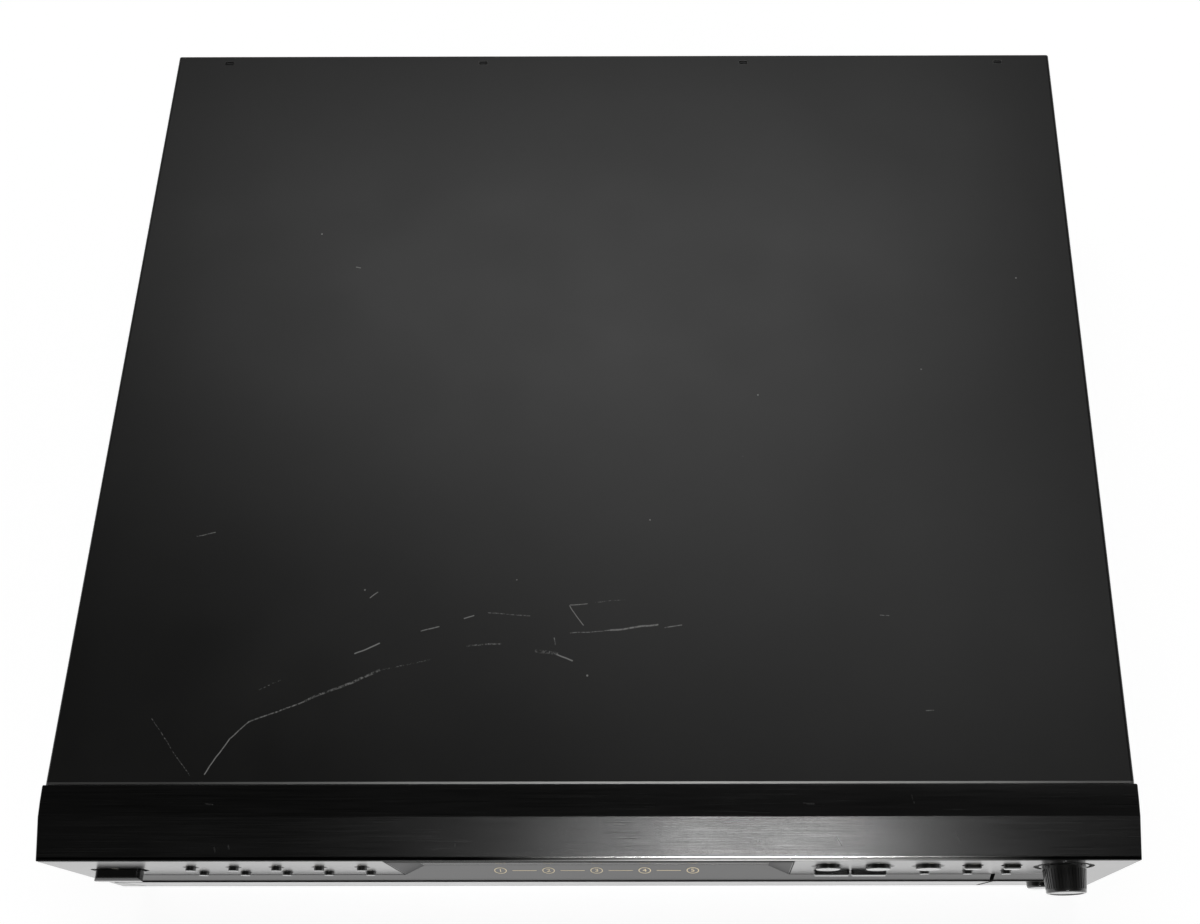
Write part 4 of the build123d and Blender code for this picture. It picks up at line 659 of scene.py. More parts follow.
def make_finishes(scene):
    """Every finish of the record's material slots."""
    casing, front, drawer = scene.changer_casing, scene.changer_front, scene.changer_drawer
    finish_cover(casing)
    finish_cap(casing)
    finish_fascia(front)
    finish_table(drawer)
    for finish in (finish_window, finish_tube, finish_board, finish_capacitors, finish_transformer):
        finish()
    polish = {"worn": 0.5, "coat_weight": 0.9, "coat_roughness": 0.06}
    moulded("button_black", (0.0095, 0.0095, 0.009), 0.27, depth=0.004, **polish)
    moulded("knob_black", (0.0085, 0.0085, 0.008), 0.3, depth=0.006, **polish)
    moulded("rear_paint", (0.011, 0.011, 0.011), 0.5, grain=1600.0, depth=0.03)
    moulded("foot_plastic", (0.012, 0.012, 0.012), 0.38)
    moulded("rubber", (0.02, 0.02, 0.02), 0.78, grain=3200.0, depth=0.04, worn=0.15, film=0.3)
    moulded("tray_plastic", drawer.tray_colour, 0.42, grain=2200.0)
    moulded("frame_plastic", (0.02, 0.02, 0.021), 0.48, grain=1800.0, depth=0.03)
    moulded("gear_white", (0.68, 0.66, 0.6), 0.36, depth=0.01, worn=0.2, subsurface_weight=0.15,
            subsurface_scale=2 * MM)
    moulded("jack_plastic", (0.014, 0.014, 0.014), 0.34, depth=0.01)
    moulded("belt_rubber", (0.015, 0.015, 0.015), 0.62, worn=0.1)
    sheet_steel("chassis_steel", casing.zinc_colour, 0.36, 160.0)
    sheet_steel("bridge_steel", (0.6, 0.6, 0.59), 0.32, 260.0)
    sheet_steel("pickup_metal", (0.5, 0.5, 0.51), 0.45, 900.0)
    turned_metal("screw_black", (0.06, 0.06, 0.06), 0.34, (0, 0, 0), (1, 0, 1), 3000.0)
    turned_metal("motor_steel", (0.58, 0.58, 0.57), 0.3, tuple(centre_of("spindle_hub")), (1, 1, 0), 1200.0)
    turned_metal("rod_steel", (0.7, 0.7, 0.7), 0.15, (0, 0, 0), (0, 1, 0), 900.0)


# ---- modelling helpers -------------------------------------------------------------------------
def deselect():
    if bpy.context.mode != "OBJECT":
        bpy.ops.object.mode_set(mode="OBJECT")
    bpy.ops.object.select_all(action="DESELECT")


def activate(piece):
    deselect()
    piece.select_set(True)
    bpy.context.view_layer.objects.active = piece


def settle(piece):
    """Moves a piece's place into its mesh."""
    activate(piece)
    bpy.ops.object.transform_apply(location=True, rotation=True, scale=True)


def primitive(kind, name, **settings):
    """Adds one of Blender's primitives and moves its place into its mesh."""
    deselect()
    getattr(bpy.ops.mesh, f"primitive_{kind}_add")(**settings)
    piece = bpy.context.active_object
    piece.name = name
    piece.data.name = name
    settle(piece)
    return piece


def edit(piece):
    activate(piece)
    bpy.ops.object.mode_set(mode="EDIT")
    bpy.ops.mesh.select_all(action="DESELECT")


def pick(piece, kind, test):
    """Selects the vertices, edges or faces that pass a test, in edit mode."""
    bpy.ops.mesh.select_mode(type=kind)
    bpy.ops.mesh.select_all(action="DESELECT")
    mesh = bmesh.from_edit_mesh(piece.data)
    for part in {"VERT": mesh.verts, "EDGE": mesh.edges, "FACE": mesh.faces}[kind]:
        part.select_set(test(part))
    mesh.select_flush_mode()
    bmesh.update_edit_mesh(piece.data)


def pick_faces(piece, test):
    """Selects the faces whose middle and normal pass a test."""
    pick(piece, "FACE", lambda face: test(face.calc_center_median(), face.normal))


def pick_edges(piece, test):
    """Selects the edges whose middle passes a test."""
    pick(piece, "EDGE", lambda edge: test((edge.verts[0].co + edge.verts[1].co) / 2))


def modify(piece, kind, **settings):
    """Adds a modifier and applies it."""
    activate(piece)
    modifier = piece.modifiers.new(kind.title(), kind)
    for key, value in settings.items():
        setattr(modifier, key, value)
    bpy.ops.object.modifier_apply(modifier=modifier.name)


def rounded(piece, width, segments=2, crease=30.0):
    """Rounds a piece's edges by a width in millimetres and shades its flats flat."""
    activate(piece)
    bpy.ops.object.shade_smooth()
    modify(piece, "BEVEL", width=width * MM, segments=segments, limit_method="ANGLE",
           angle_limit=radians(crease), use_clamp_overlap=True,
           miter_outer="MITER_ARC" if segments > 2 else "MITER_SHARP")
    modify(piece, "WEIGHTED_NORMAL", keep_sharp=True)


def outward(piece):
    """Merges doubles and turns the normals outwards."""
    edit(piece)
    bpy.ops.mesh.select_all(action="SELECT")
    bpy.ops.mesh.remove_doubles(threshold=1e-6)
    bpy.ops.mesh.normals_make_consistent(inside=False)
    bpy.ops.object.mode_set(mode="OBJECT")


def join(pieces, name):
    """Joins pieces into one mesh."""
    deselect()
    for piece in pieces:
        piece.select_set(True)
    bpy.context.view_layer.objects.active = pieces[0]
    if len(pieces) > 1:
        bpy.ops.object.join()
    pieces[0].name = name
    pieces[0].data.name = name
    return pieces[0]


def copy_at(piece, name, matrix):
    """Copy of a piece with its own mesh, placed by a matrix."""
    made = bpy.data.objects.new(name, piece.data.copy())
    bpy.context.scene.collection.objects.link(made)
    made.data.transform(matrix)
    return made


def dress(piece, material, body, replaces=()):
    """Gives a finished piece its material and its body, and hides the nodes that it stands for."""
    piece.data.materials.clear()
    piece.data.materials.append(bpy.data.materials[f"{material}_finish"])
    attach(piece, body)
    if replaces:
        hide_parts(*replaces)
    return piece


def softened(node, width, segments, crease, shape=None):
    """Copy of a node with rounded edges, which stands for it; a shape is worked into it first."""
    piece = bpy.data.objects.new(f"{node}_finished", NODES[node].data.copy())
    bpy.context.scene.collection.objects.link(piece)
    activate(piece)
    if piece.data.has_custom_normals:
        bpy.ops.mesh.customdata_custom_splitnormals_clear()
    edit(piece)
    bpy.ops.mesh.select_all(action="SELECT")
    bpy.ops.mesh.remove_doubles(threshold=2e-6)
    bpy.ops.mesh.dissolve_limited(angle_limit=radians(0.6))
    bpy.ops.object.mode_set(mode="OBJECT")
    if shape:
        shape(piece)
    rounded(piece, width, segments, crease)
    slot = SLOT_OF[node]
    return dress(piece, slot, BODY_OF[node], [node])


def smoothed(piece, angle):
    """Shades a piece smooth, except at edges sharper than an angle in degrees."""
    activate(piece)
    bpy.ops.object.shade_smooth_by_angle(angle=radians(angle))


def lying_cylinder(name, x, z, radius, start, end, sides):
    """Cylinder along Y between two places, in metres."""
    return primitive("cylinder", name, vertices=sides, radius=radius, depth=end - start,
                     location=(x, (start + end) / 2, z), rotation=(pi / 2, 0, 0))


def tube(name, x, z, outer, inner, start, end):
    """Ring along Y between two depths, in millimetres: a cylinder's ends are inset and bridged."""
    piece = lying_cylinder(name, x * MM, z * MM, outer * MM, back(start), back(end), 64)
    edit(piece)
    pick_faces(piece, lambda place, normal: abs(normal.y) > 0.9)
    bpy.ops.mesh.inset(thickness=(outer - inner) * MM)
    bpy.ops.mesh.bridge_edge_loops()
    bpy.ops.object.mode_set(mode="OBJECT")
    outward(piece)
    return piece


# ---- stage -------------------------------------------------------------------------------------
def make_floor(look):
    """Pale floor that looks white to the camera and still takes the player's shadow."""
    floor = primitive("plane", "studio_floor", size=look.floor_size, location=(0, 0, -0.2 * MM))
    material = bpy.data.materials.new("studio_floor")
    material.use_nodes = True
    tree = material.node_tree
    tree.nodes.remove(tree.nodes["Principled BSDF"])
    path = put(tree, "ShaderNodeLightPath").outputs
    seen = plus(tree, path["Is Camera Ray"], path["Is Glossy Ray"])
    seen = plus(tree, seen, path["Is Transmission Ray"], clamp=True)
    tone = mix_colours(tree, seen, (0.85, 0.85, 0.85), (0.4, 0.4, 0.4))
    lit = put(tree, "ShaderNodeBsdfDiffuse", {"Color": tone}).outputs[0]
    glow = put(tree, "ShaderNodeEmission", {"Strength": times(tree, seen, look.floor_glow)}).outputs[0]
    both = put(tree, "ShaderNodeAddShader", {0: lit, 1: glow}).outputs[0]
    tree.links.new(both, tree.nodes["Material Output"].inputs["Surface"])
    floor.data.materials.append(material)


def make_world(look):
    """Studio with a wall that is brightest at its foot before the player, under a dark ceiling."""
    world = bpy.data.worlds.new("studio")
    bpy.context.scene.world = world
    world.use_nodes = True
    tree = world.node_tree
    direction = axes(tree, put(tree, "ShaderNodeTexCoord").outputs["Generated"])
    before = remap(tree, direction[1], -0.3, 0.0, 1.0, 0.0)
    foot = times(tree, before, remap(tree, direction[2], 0.04, 0.2, look.near_wall, 0.0))
    strength = plus(tree, remap(tree, direction[2], 0.3, 0.72, look.horizon, look.zenith), foot)
    path = put(tree, "ShaderNodeLightPath").outputs
    seen = plus(tree, path["Is Camera Ray"], path["Is Transmission Ray"], clamp=True)
    wall = put(tree, "ShaderNodeBackground", {"Color": (1, 1, 1, 1), "Strength": strength}).outputs[0]
    white = put(tree, "ShaderNodeBackground", {"Color": (1, 1, 1, 1), "Strength": 1.0}).outputs[0]
    mixed = put(tree, "ShaderNodeMixShader", {0: seen, 1: wall, 2: white}).outputs[0]
    tree.links.new(mixed, tree.nodes["World Output"].inputs["Surface"])


def make_lamp(name, place, target, width, depth, power):
    """Rectangular soft box that faces a target."""
    deselect()
    bpy.ops.object.light_add(type="AREA", location=place)
    lamp = bpy.context.active_object
    lamp.name = name
    lamp.data.shape = "RECTANGLE"
    lamp.data.size = width
    lamp.data.size_y = depth
    lamp.data.energy = power
    lamp.rotation_euler = (Vector(target) - Vector(place)).to_track_quat("-Z", "Y").to_euler()


def make_camera():
    deselect()
    bpy.ops.object.camera_add(location=CAMERA_PLACE)
    camera = bpy.context.active_object
    camera.name = "camera"
    pan, pitch, roll = CAMERA_TURN
    turn = Matrix.Rotation(pan, 3, "Z") @ Matrix.Rotation(pitch, 3, "X") @ Matrix.Rotation(roll, 3, "Z")
    camera.rotation_euler = turn.to_euler()
    camera.data.sensor_fit = "HORIZONTAL"
    camera.data.sensor_width = CAMERA_SENSOR
    camera.data.lens = CAMERA_LENS
    camera.data.shift_x = CAMERA_SHIFT
    bpy.context.scene.camera = camera


class OBJECT_OT_changer_stage(Operator):
    """Floor, studio light and the photograph's camera"""

    bl_idname = "object.changer_stage"
    bl_label = "Stage"

    def execute(self, context):
        look = context.scene.changer_studio
        make_camera()
        make_floor(look)
        make_world(look)
        make_lamp("rear_soft_box", (-0.173, 1.3, 2.1), (0, 0, COVER_TOP), 1.8, 0.6, look.rear_lamp)
        make_lamp("top_soft_box", (0.257, 0.66, 2.1), (0, 0, COVER_TOP), 1.43, 0.6, look.top_lamp)
        make_lamp("front_strip", (0.11, -1.28, 2.2), (0.05, FRONT, COVER_TOP), 0.45, 0.12, look.front_lamp)
        return {"FINISHED"}


# ---- object operators --------------------------------------------------------------------------
class OBJECT_OT_changer_finishes(Operator):
    """Gives every node of the frame the finish of its slot"""

    bl_idname = "object.changer_finishes"
    bl_label = "Finishes"

    def execute(self, context):
        make_finishes(context.scene)
        for node, slot in SLOT_OF.items():
            materials = NODES[node].data.materials
            materials.clear()
            materials.append(bpy.data.materials[f"{slot}_finish"])
        return {"FINISHED"}


# width of the rounding in millimetres, its segments and the least crease in degrees, by node
CASING_EDGES = {
    "cap_strip": (0.4, 3, 4.0), "top_cover": (0.8, 3, 40.0), "rear_panel": (0.2, 2, 30.0),
    "base_chassis": (0.25, 2, 30.0), "feet": (0.4, 3, 24.0), "foot_pads": (0.3, 2, 30.0),
}
FRONT_EDGES = {
    **{node: (0.25, 3, 30.0) for node in NODES if node.startswith(("mode_button", "skip_button"))},
    "power_button": (0.35, 3, 30.0), "open_close_button": (0.3, 3, 30.0),
}
DRAWER_EDGES = {
    "tray": (0.35, 2, 35.0), "tray_front": (0.05, 2, 14.0), "disc_table": (0.3, 2, 35.0),
    "table_cap": (0.3, 2, 35.0),
}
REAR_EDGES = {"optical_output": (0.25, 2, 35.0), "cord_gland": (0.5, 3, 35.0)}
WORKS_EDGES = {
    "base_unit": (0.3, 2, 35.0), "clamp_bridge": (0.2, 2, 35.0), "clamper": (0.3, 2, 35.0),
    "spindle_hub": (0.25, 2, 35.0), "optical_pickup": (0.25, 2, 35.0), "mechanism_frame": (0.3, 2, 35.0),
    "power_transformer": (0.4, 2, 35.0), "capacitors": (0.4, 2, 35.0), "display_tube": (0.3, 2, 35.0),
    "display_window": (0.25, 2, 35.0), "drive_motors": (0.3, 2, 35.0), "loading_motor": (0.3, 2, 35.0),
    "table_motor": (0.3, 2, 35.0),
}


def soften_all(edges):
    for node, (width, segments, crease) in edges.items():
        softened(node, width, segments, crease)


BAND_ENDS = (-204.0, 198.0)  # X where the band gives way to the flat fascia
BAND_CHEEK = 0.5  # width over which each end of the band is laid back


def flatten_ends(panel):
    """Lays the band and the lower face back into the fascia's plane at both ends of the front."""
    left, right = BAND_ENDS
    edit(panel)
    for x in (left, left + BAND_CHEEK, right, right + BAND_CHEEK):
        bpy.ops.mesh.select_all(action="SELECT")
        bpy.ops.mesh.bisect(plane_co=(x * MM, 0, 0), plane_no=(1, 0, 0))

    def stands_out(vertex):
        beyond = not left + BAND_CHEEK / 2 <= vertex.co.x / MM <= right + BAND_CHEEK / 2
        return beyond and vertex.co.y < back(-0.01)

    pick(panel, "VERT", stands_out)
    bpy.ops.transform.resize(value=(1, 0, 1), center_override=(0, FRONT, 0))
    bpy.ops.object.mode_set(mode="OBJECT")
    outward(panel)


SCREW_RADIUS, SCREW_HEIGHT = 3.6, 1.8
CROSS_SIZE = (3.6, 0.75, 2.4)  # each bar of a screw's cross recess
SIDE_SCREW_DEPTHS, SIDE_SCREW_HEIGHT, SIDE_SCREW_REACH = (72.0, 338.0), 25.0, 1.0
REAR_SCREWS = ((-200, 100), (0, 102), (200, 100), (-200, 24), (0, 24), (200, 24))  # X and height


def screw_places():
    """Middle and direction of each screw's seat, and how far its head stands out, in millimetres."""
    cover_low, cover_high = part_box("top_cover")
    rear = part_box("rear_panel")[1].y
    found = []
    for side, face in ((-1, cover_low.x), (1, cover_high.x)):
        for depth in SIDE_SCREW_DEPTHS:
            place = Vector((face, back(depth), SIDE_SCREW_HEIGHT * MM))
            found.append((place, Vector((side, 0, 0)), SIDE_SCREW_REACH))
    for x, height in REAR_SCREWS:
        found.append((Vector((x * MM, rear, height * MM)), Vector((0, 1, 0)), SCREW_HEIGHT))
    return found


def make_screws():
    """Pan head screws with cross recesses, one on each seat."""
    head = primitive("cylinder", "screw_head", vertices=32, radius=SCREW_RADIUS * MM, depth=SCREW_HEIGHT * MM,
                     location=(0, 0, SCREW_HEIGHT / 2 * MM))
    edit(head)
    pick_edges(head, lambda place: place.z > 0.95 * SCREW_HEIGHT * MM)
    bpy.ops.mesh.bevel(offset=SCREW_HEIGHT / 2 * MM, segments=4, affect="EDGES")
    bpy.ops.object.mode_set(mode="OBJECT")
    for turn in (0, pi / 2):
        bar = primitive("cube", "cross", size=1, scale=[side * MM for side in CROSS_SIZE],
                        location=(0, 0, SCREW_HEIGHT * MM), rotation=(0, 0, turn))
        edit(bar)
        pick_faces(bar, lambda place, normal: normal.z < -0.9)
        bpy.ops.transform.resize(value=(0.35, 0.35, 1))
        bpy.ops.object.mode_set(mode="OBJECT")
        modify(head, "BOOLEAN", operation="DIFFERENCE", object=bar, solver="EXACT")
        bpy.data.objects.remove(bar)
    screws = []
    for index, (place, direction, reach) in enumerate(screw_places()):
        turn = direction.to_track_quat("Z", "Y").to_matrix().to_4x4()
        spin = Matrix.Rotation(radians(23 * index), 4, "Z")
        flat = Matrix.Diagonal((1, 1, reach / SCREW_HEIGHT, 1))
        screws.append(copy_at(head, f"screw_{index}", Matrix.Translation(place) @ turn @ spin @ flat))
    bpy.data.objects.remove(head)
    piece = join(screws, "cross_head_screws")
    smoothed(piece, 35)
    dress(piece, "screw_black", "casing", ["casing_screws"])


class OBJECT_OT_changer_casing(Operator):
    """Cover, cap strip, panels, feet and their screws"""

    bl_idname = "object.changer_casing"
    bl_label = "Casing"

    def execute(self, context):
        soften_all(CASING_EDGES)
        softened("front_panel", 0.08, 2, 14.0, flatten_ends)
        make_screws()
        return {"FINISHED"}


# ---- front controls ----------------------------------------------------------------------------
FLANGE_RIM, FLANGE_THICK = 1.2, 1.2  # flange that holds a button behind the fascia
STEM_RADIUS = 1.6
BUTTON_DISH = ((0.3, 0.12), (0.35, 0.08))  # each step's width by the button's radius, and its depth


def make_round_button(node):
    """Button with a rounded rim and a dished face, on its flange and stem."""
    low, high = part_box(node)
    middle = centre_of(node)
    rim, flange = FLANGE_RIM * MM, back(WALL)
    radius = (high.x - low.x) / 2 - rim
    body = lying_cylinder(f"{node}_cap", middle.x, middle.z, radius, low.y, flange, 48)
    edit(body)
    pick_faces(body, lambda place, normal: normal.y < -0.9)
    for width, depth in BUTTON_DISH:
        bpy.ops.mesh.inset(thickness=radius * width)
        bpy.ops.transform.translate(value=(0, depth * MM, 0))
    pick_edges(body, lambda place: place.y < low.y + 0.01 * MM
               and (place - middle).xz.length > radius * 0.9)
    bpy.ops.mesh.bevel(offset=min(0.45 * MM, radius * 0.2), segments=3, affect="EDGES")
    bpy.ops.object.mode_set(mode="OBJECT")
    stem_front = flange + FLANGE_THICK * MM
    collar = lying_cylinder(f"{node}_flange", middle.x, middle.z, radius + rim, flange, stem_front, 32)
    stem_radius = min(radius, STEM_RADIUS * MM)
    stem = lying_cylinder(f"{node}_stem", middle.x, middle.z, stem_radius, stem_front, high.y, 24)
    piece = join([body, collar, stem], f"{node}_finished")
    smoothed(piece, 32)
    dress(piece, "button_black", node, [node])


KNOB_RADIUS, KNOB_TIP_RADIUS, KNOB_SHAFT = 8.8, 7.9, 3.0
KNOB_FACE = -KNOB_REACH + 0.02  # depth of the turned face, a hair inside the frame's box
KNOB_BACK = -0.3  # depth of the knob's rear rim
KNOB_SHAFT_ENDS = (-0.4, 10.5)
FLUTE_ENDS = (-KNOB_REACH + 1.5, -1.4)  # depths between which the flutes run
FACES_PER_FLUTE = 4  # two of them sink and two stand


def make_knob(look):
    """Jog knob: fluted barrel, turned face with a raised rim, and its shaft."""
    middle = centre_of("jog_knob")
    x, z = middle.x, middle.z
    face, rear = back(KNOB_FACE), back(KNOB_BACK)
    flute_front, flute_back = (back(depth) for depth in FLUTE_ENDS)
    sides = look.knob_flutes * FACES_PER_FLUTE
    barrel = primitive("cone", "knob_barrel", vertices=sides, radius1=KNOB_RADIUS * MM,
                       radius2=KNOB_TIP_RADIUS * MM, depth=rear - face, location=(x, (face + rear) / 2, z),
                       rotation=(pi / 2, 0, 0))
    edit(barrel)
    pick_faces(barrel, lambda place, normal: abs(normal.y) < 0.5)
    bpy.ops.mesh.bisect(plane_co=(x, flute_back, z), plane_no=(0, 1, 0))
    pick_faces(barrel, lambda place, normal: abs(normal.y) < 0.5 and place.y < flute_back)
    bpy.ops.mesh.bisect(plane_co=(x, flute_front, z), plane_no=(0, 1, 0))

    def in_flute(place, normal):
        turn = (Vector((place.x - x, place.z - z)).angle_signed(Vector((1, 0))) / (2 * pi)) % 1.0
        return (abs(normal.y) < 0.5 and flute_front < place.y < flute_back
                and int(turn * sides) % FACES_PER_FLUTE < 2)

    pick_faces(barrel, in_flute)
    bpy.ops.mesh.inset(thickness=0.1 * MM, depth=-look.flute_depth)
    pick_edges(barrel, lambda place: place.y < face + 0.03 * MM
               and hypot(place.x - x, place.z - z) > 0.95 * KNOB_TIP_RADIUS * MM)
    bpy.ops.mesh.bevel(offset=0.6 * MM, segments=4, affect="EDGES")
    pick_faces(barrel, lambda place, normal: normal.y < -0.95 and place.y < face + 0.01 * MM)
    for width, sink in ((0.5, 0), (0.15, 0.25), (5.0, 0.15)):
        bpy.ops.mesh.inset(thickness=width * MM, depth=-sink * MM)
    bpy.ops.object.mode_set(mode="OBJECT")
    shaft_front, shaft_back = (back(depth) for depth in KNOB_SHAFT_ENDS)
    shaft = lying_cylinder("knob_shaft", x, z, KNOB_SHAFT * MM, shaft_front, shaft_back, 32)
    knob = join([barrel, shaft], "jog_knob_finished")
    smoothed(knob, 30)
    dress(knob, "knob_black", "jog_knob", ["jog_knob"])


# ---- print -------------------------------------------------------------------------------------
def flat_text(words, height):
    """Flat mesh of a few plain characters, centred on the origin in the XY plane."""
    deselect()
    bpy.ops.object.text_add()
    text = bpy.context.active_object
    text.data.body = words
    text.data.align_x = "CENTER"
    text.data.align_y = "CENTER"
    text.data.size = height * MM * 1.35
    text.data.resolution_u = 4
    bpy.ops.object.convert(target="MESH")
    return bpy.context.active_object


def flat_disc(x, y, radius, sides, turn=0.0):
    deselect()
    bpy.ops.mesh.primitive_circle_add(vertices=sides, radius=radius * MM, fill_type="NGON",
                                      location=(x * MM, y * MM, 0), rotation=(0, 0, radians(turn)))
    return bpy.context.active_object


def flat_triangle(x, y, radius, turn):
    return flat_disc(x, y, radius, 3, turn)


def flat_bar(x, y, width, height, turn=0.0):
    deselect()
    bpy.ops.mesh.primitive_plane_add(size=1, location=(x * MM, y * MM, 0), rotation=(0, 0, radians(turn)))
    bar = bpy.context.active_object
    bar.scale = (width * MM, height * MM, 1)
    return bar


def flat_ring(x, y, radius, width, sides=32):
    """Thin ring in the XY plane, from a circle's inset."""
    ring = flat_disc(x, y, radius, sides)
    edit(ring)
    bpy.ops.mesh.select_all(action="SELECT")
    bpy.ops.mesh.inset(thickness=width * MM)
    bpy.ops.mesh.delete(type="FACE")
    bpy.ops.object.mode_set(mode="OBJECT")
    return ring


def printed(parts, matrix, thickness):
    """Flat shapes joined, thickened and placed on a face by a matrix."""
    for part in parts:
        settle(part)
    mark = join(parts, "mark")
    modify(mark, "SOLIDIFY", thickness=thickness, offset=1.0)
    mark.data.transform(matrix)
    return mark


def on_front(x, z, depth=0.0, lean=0.0):
    """Matrix that stands a flat shape on the front, facing forward and leaning back."""
    return Matrix.Translation((x * MM, back(depth), z * MM)) @ Matrix.Rotation(pi / 2 - lean, 4, "X")


# the flat shapes of each symbol: place, size and turn, in millimetres and degrees
SYMBOLS = {
    "play": ((flat_triangle, 0, 0, 1.25, -90),),
    "pause": ((flat_bar, -0.55, 0, 0.5, 1.9), (flat_bar, 0.55, 0, 0.5, 1.9)),
    "stop": ((flat_bar, 0, 0, 1.8, 1.8),),
    "back": ((flat_bar, -1.55, 0, 0.35, 1.7), (flat_triangle, -0.7, 0, 1.0, 90),
             (flat_triangle, 0.8, 0, 1.0, 90)),
    "forward": ((flat_triangle, -0.8, 0, 1.0, -90), (flat_triangle, 0.7, 0, 1.0, -90),
                (flat_bar, 1.55, 0, 0.35, 1.7)),
    "eject": ((flat_triangle, 0, 0.35, 1.2, 0), (flat_bar, 0, -0.85, 2.1, 0.42)),
    "power": ((flat_ring, 0, 0, 1.3, 0.28), (flat_bar, 0, 0.7, 0.3, 1.3)),
    "repeat": ((flat_ring, 0, 0, 1.2, 0.25), (flat_triangle, 1.1, 0.2, 0.6, 180)),
    "line": ((flat_bar, 0, 0, 2.6, 0.3),),
}
# each control's symbol and its rise over the control's middle
FRONT_MARKS = {
    "power_button": ("power", 5.2), "open_close_button": ("eject", 7.6),
    "transport_button_1": ("play", 8.6), "transport_button_2": ("pause", 8.6),
    "transport_button_3": ("stop", 8.6), "skip_button_back": ("back", 4.2),
    "skip_button_forward": ("forward", 4.2), "mode_button_1": ("repeat", 4.6), "mode_button_2": ("line", 4.6),
    **{f"small_button_{index}": ("line", 4.4) for index in (1, 2, 3)},
}
BUTTON_ROWS = {"upper": 1, "lower": 6}  # first number of each row
ROW_LENGTH = 5
NUMBER_SIZE, NUMBER_RISE = 2.4, 5.6


def middle_mm(node):
    low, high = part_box(node)
    return (low.x + high.x) / 2 / MM, (low.z + high.z) / 2 / MM


def make_front_print(look):
    """Plain numbers over the number buttons and symbols over the others."""
    marks = []
    for row, first in BUTTON_ROWS.items():
        for column in range(ROW_LENGTH):
            x, z = middle_mm(f"number_button_{row}_{column + 1}")
            number = flat_text(str(first + column), NUMBER_SIZE)
            marks.append(printed([number], on_front(x, z + NUMBER_RISE), look.print_height))
    for node, (name, rise) in FRONT_MARKS.items():
        x, z = middle_mm(node)
        z += rise
        matrix = on_front(x, z)
        if node == "open_close_button":
            matrix = on_front(x, z, -(z - PANEL_FOOT) * LOWER_SLOPE, -atan(LOWER_SLOPE))
        shapes = [shape(*sizes) for shape, *sizes in SYMBOLS[name]]
        marks.append(printed(shapes, matrix, look.print_height))
    dress(join(marks, "front_print"), "front_print", "casing")


BAND_PRINT_X, BAND_PRINT_HEIGHT, BAND_PRINT_STEP = -40.0, 62.6, 20.0


def make_band_print(look):
    """Row of plain disc numbers in rings, joined by lines, on the drawer's sloping band."""
    marks = []
    z = BAND_PRINT_HEIGHT
    depth = (z - FASCIA_FOOT) * BAND_SLOPE
    for place in range(DISC_COUNT):
        parts = [flat_text(str(place + 1), 2.7), flat_ring(0, 0, 2.6, 0.35)]
        if place < DISC_COUNT - 1:
            parts.append(flat_bar(BAND_PRINT_STEP / 2, 0, 10.0, 0.35))
        x = BAND_PRINT_X + BAND_PRINT_STEP * place
        marks.append(printed(parts, on_front(x, z, depth, atan(BAND_SLOPE)), look.print_height))
    dress(join(marks, "band_print"), "band_print", "tray")


SEGMENT_LENGTH, SEGMENT_GAP, SEGMENT_WIDTH, SEGMENT_THICK = 3.4, 0.5, 0.62, 0.05
SEGMENT_DEPTH = 7.47  # a hair before the tube's face
# the seven strokes of a digit: side and rise in segment lengths, and turn in degrees
STROKES = ((0, 1, 0), (0, 0, 0), (0, -1, 0), (-0.5, 0.5, 90), (0.5, 0.5, 90), (-0.5, -0.5, 90),
           (0.5, -0.5, 90))
DIGIT_COUNT, DIGIT_X, DIGIT_HEIGHT, DIGIT_STEP = 8, -46.0, 84.0, 11.5
DIGIT_SPLIT = 3.0  # wider gap between the two halves of the row of digits
DISC_LAMP_X, DISC_LAMP_HEIGHT, DISC_LAMP_STEP = -52.0, 76.0, 9.0


def make_display_digits():
    """Unlit segments and disc lamps of the display, laid on its tube's face."""
    long = SEGMENT_LENGTH
    marks = []
    for place in range(DIGIT_COUNT):
        parts = [flat_bar(side * long, rise * long, long - SEGMENT_GAP, SEGMENT_WIDTH, turn)
                 for side, rise, turn in STROKES]
        x = DIGIT_X + DIGIT_STEP * place + DIGIT_SPLIT * (place >= DIGIT_COUNT / 2)
        marks.append(printed(parts, on_front(x, DIGIT_HEIGHT, SEGMENT_DEPTH), SEGMENT_THICK * MM))
    for place in range(DISC_COUNT):
        matrix = on_front(DISC_LAMP_X + DISC_LAMP_STEP * place, DISC_LAMP_HEIGHT, SEGMENT_DEPTH)
        marks.append(printed([flat_ring(0, 0, 2.0, 0.4, 24)], matrix, SEGMENT_THICK * MM))
    dress(join(marks, "display_segments"), "display_segments", "casing")


# painted shade round the display recess: width and thickness of its dark strips, and thickness of the dull
# sheets on its leaning ends
SHADE_STRIP_WIDTH, SHADE_STRIP_THICK = 0.5, 0.05
CHEEK_THICK = 0.03


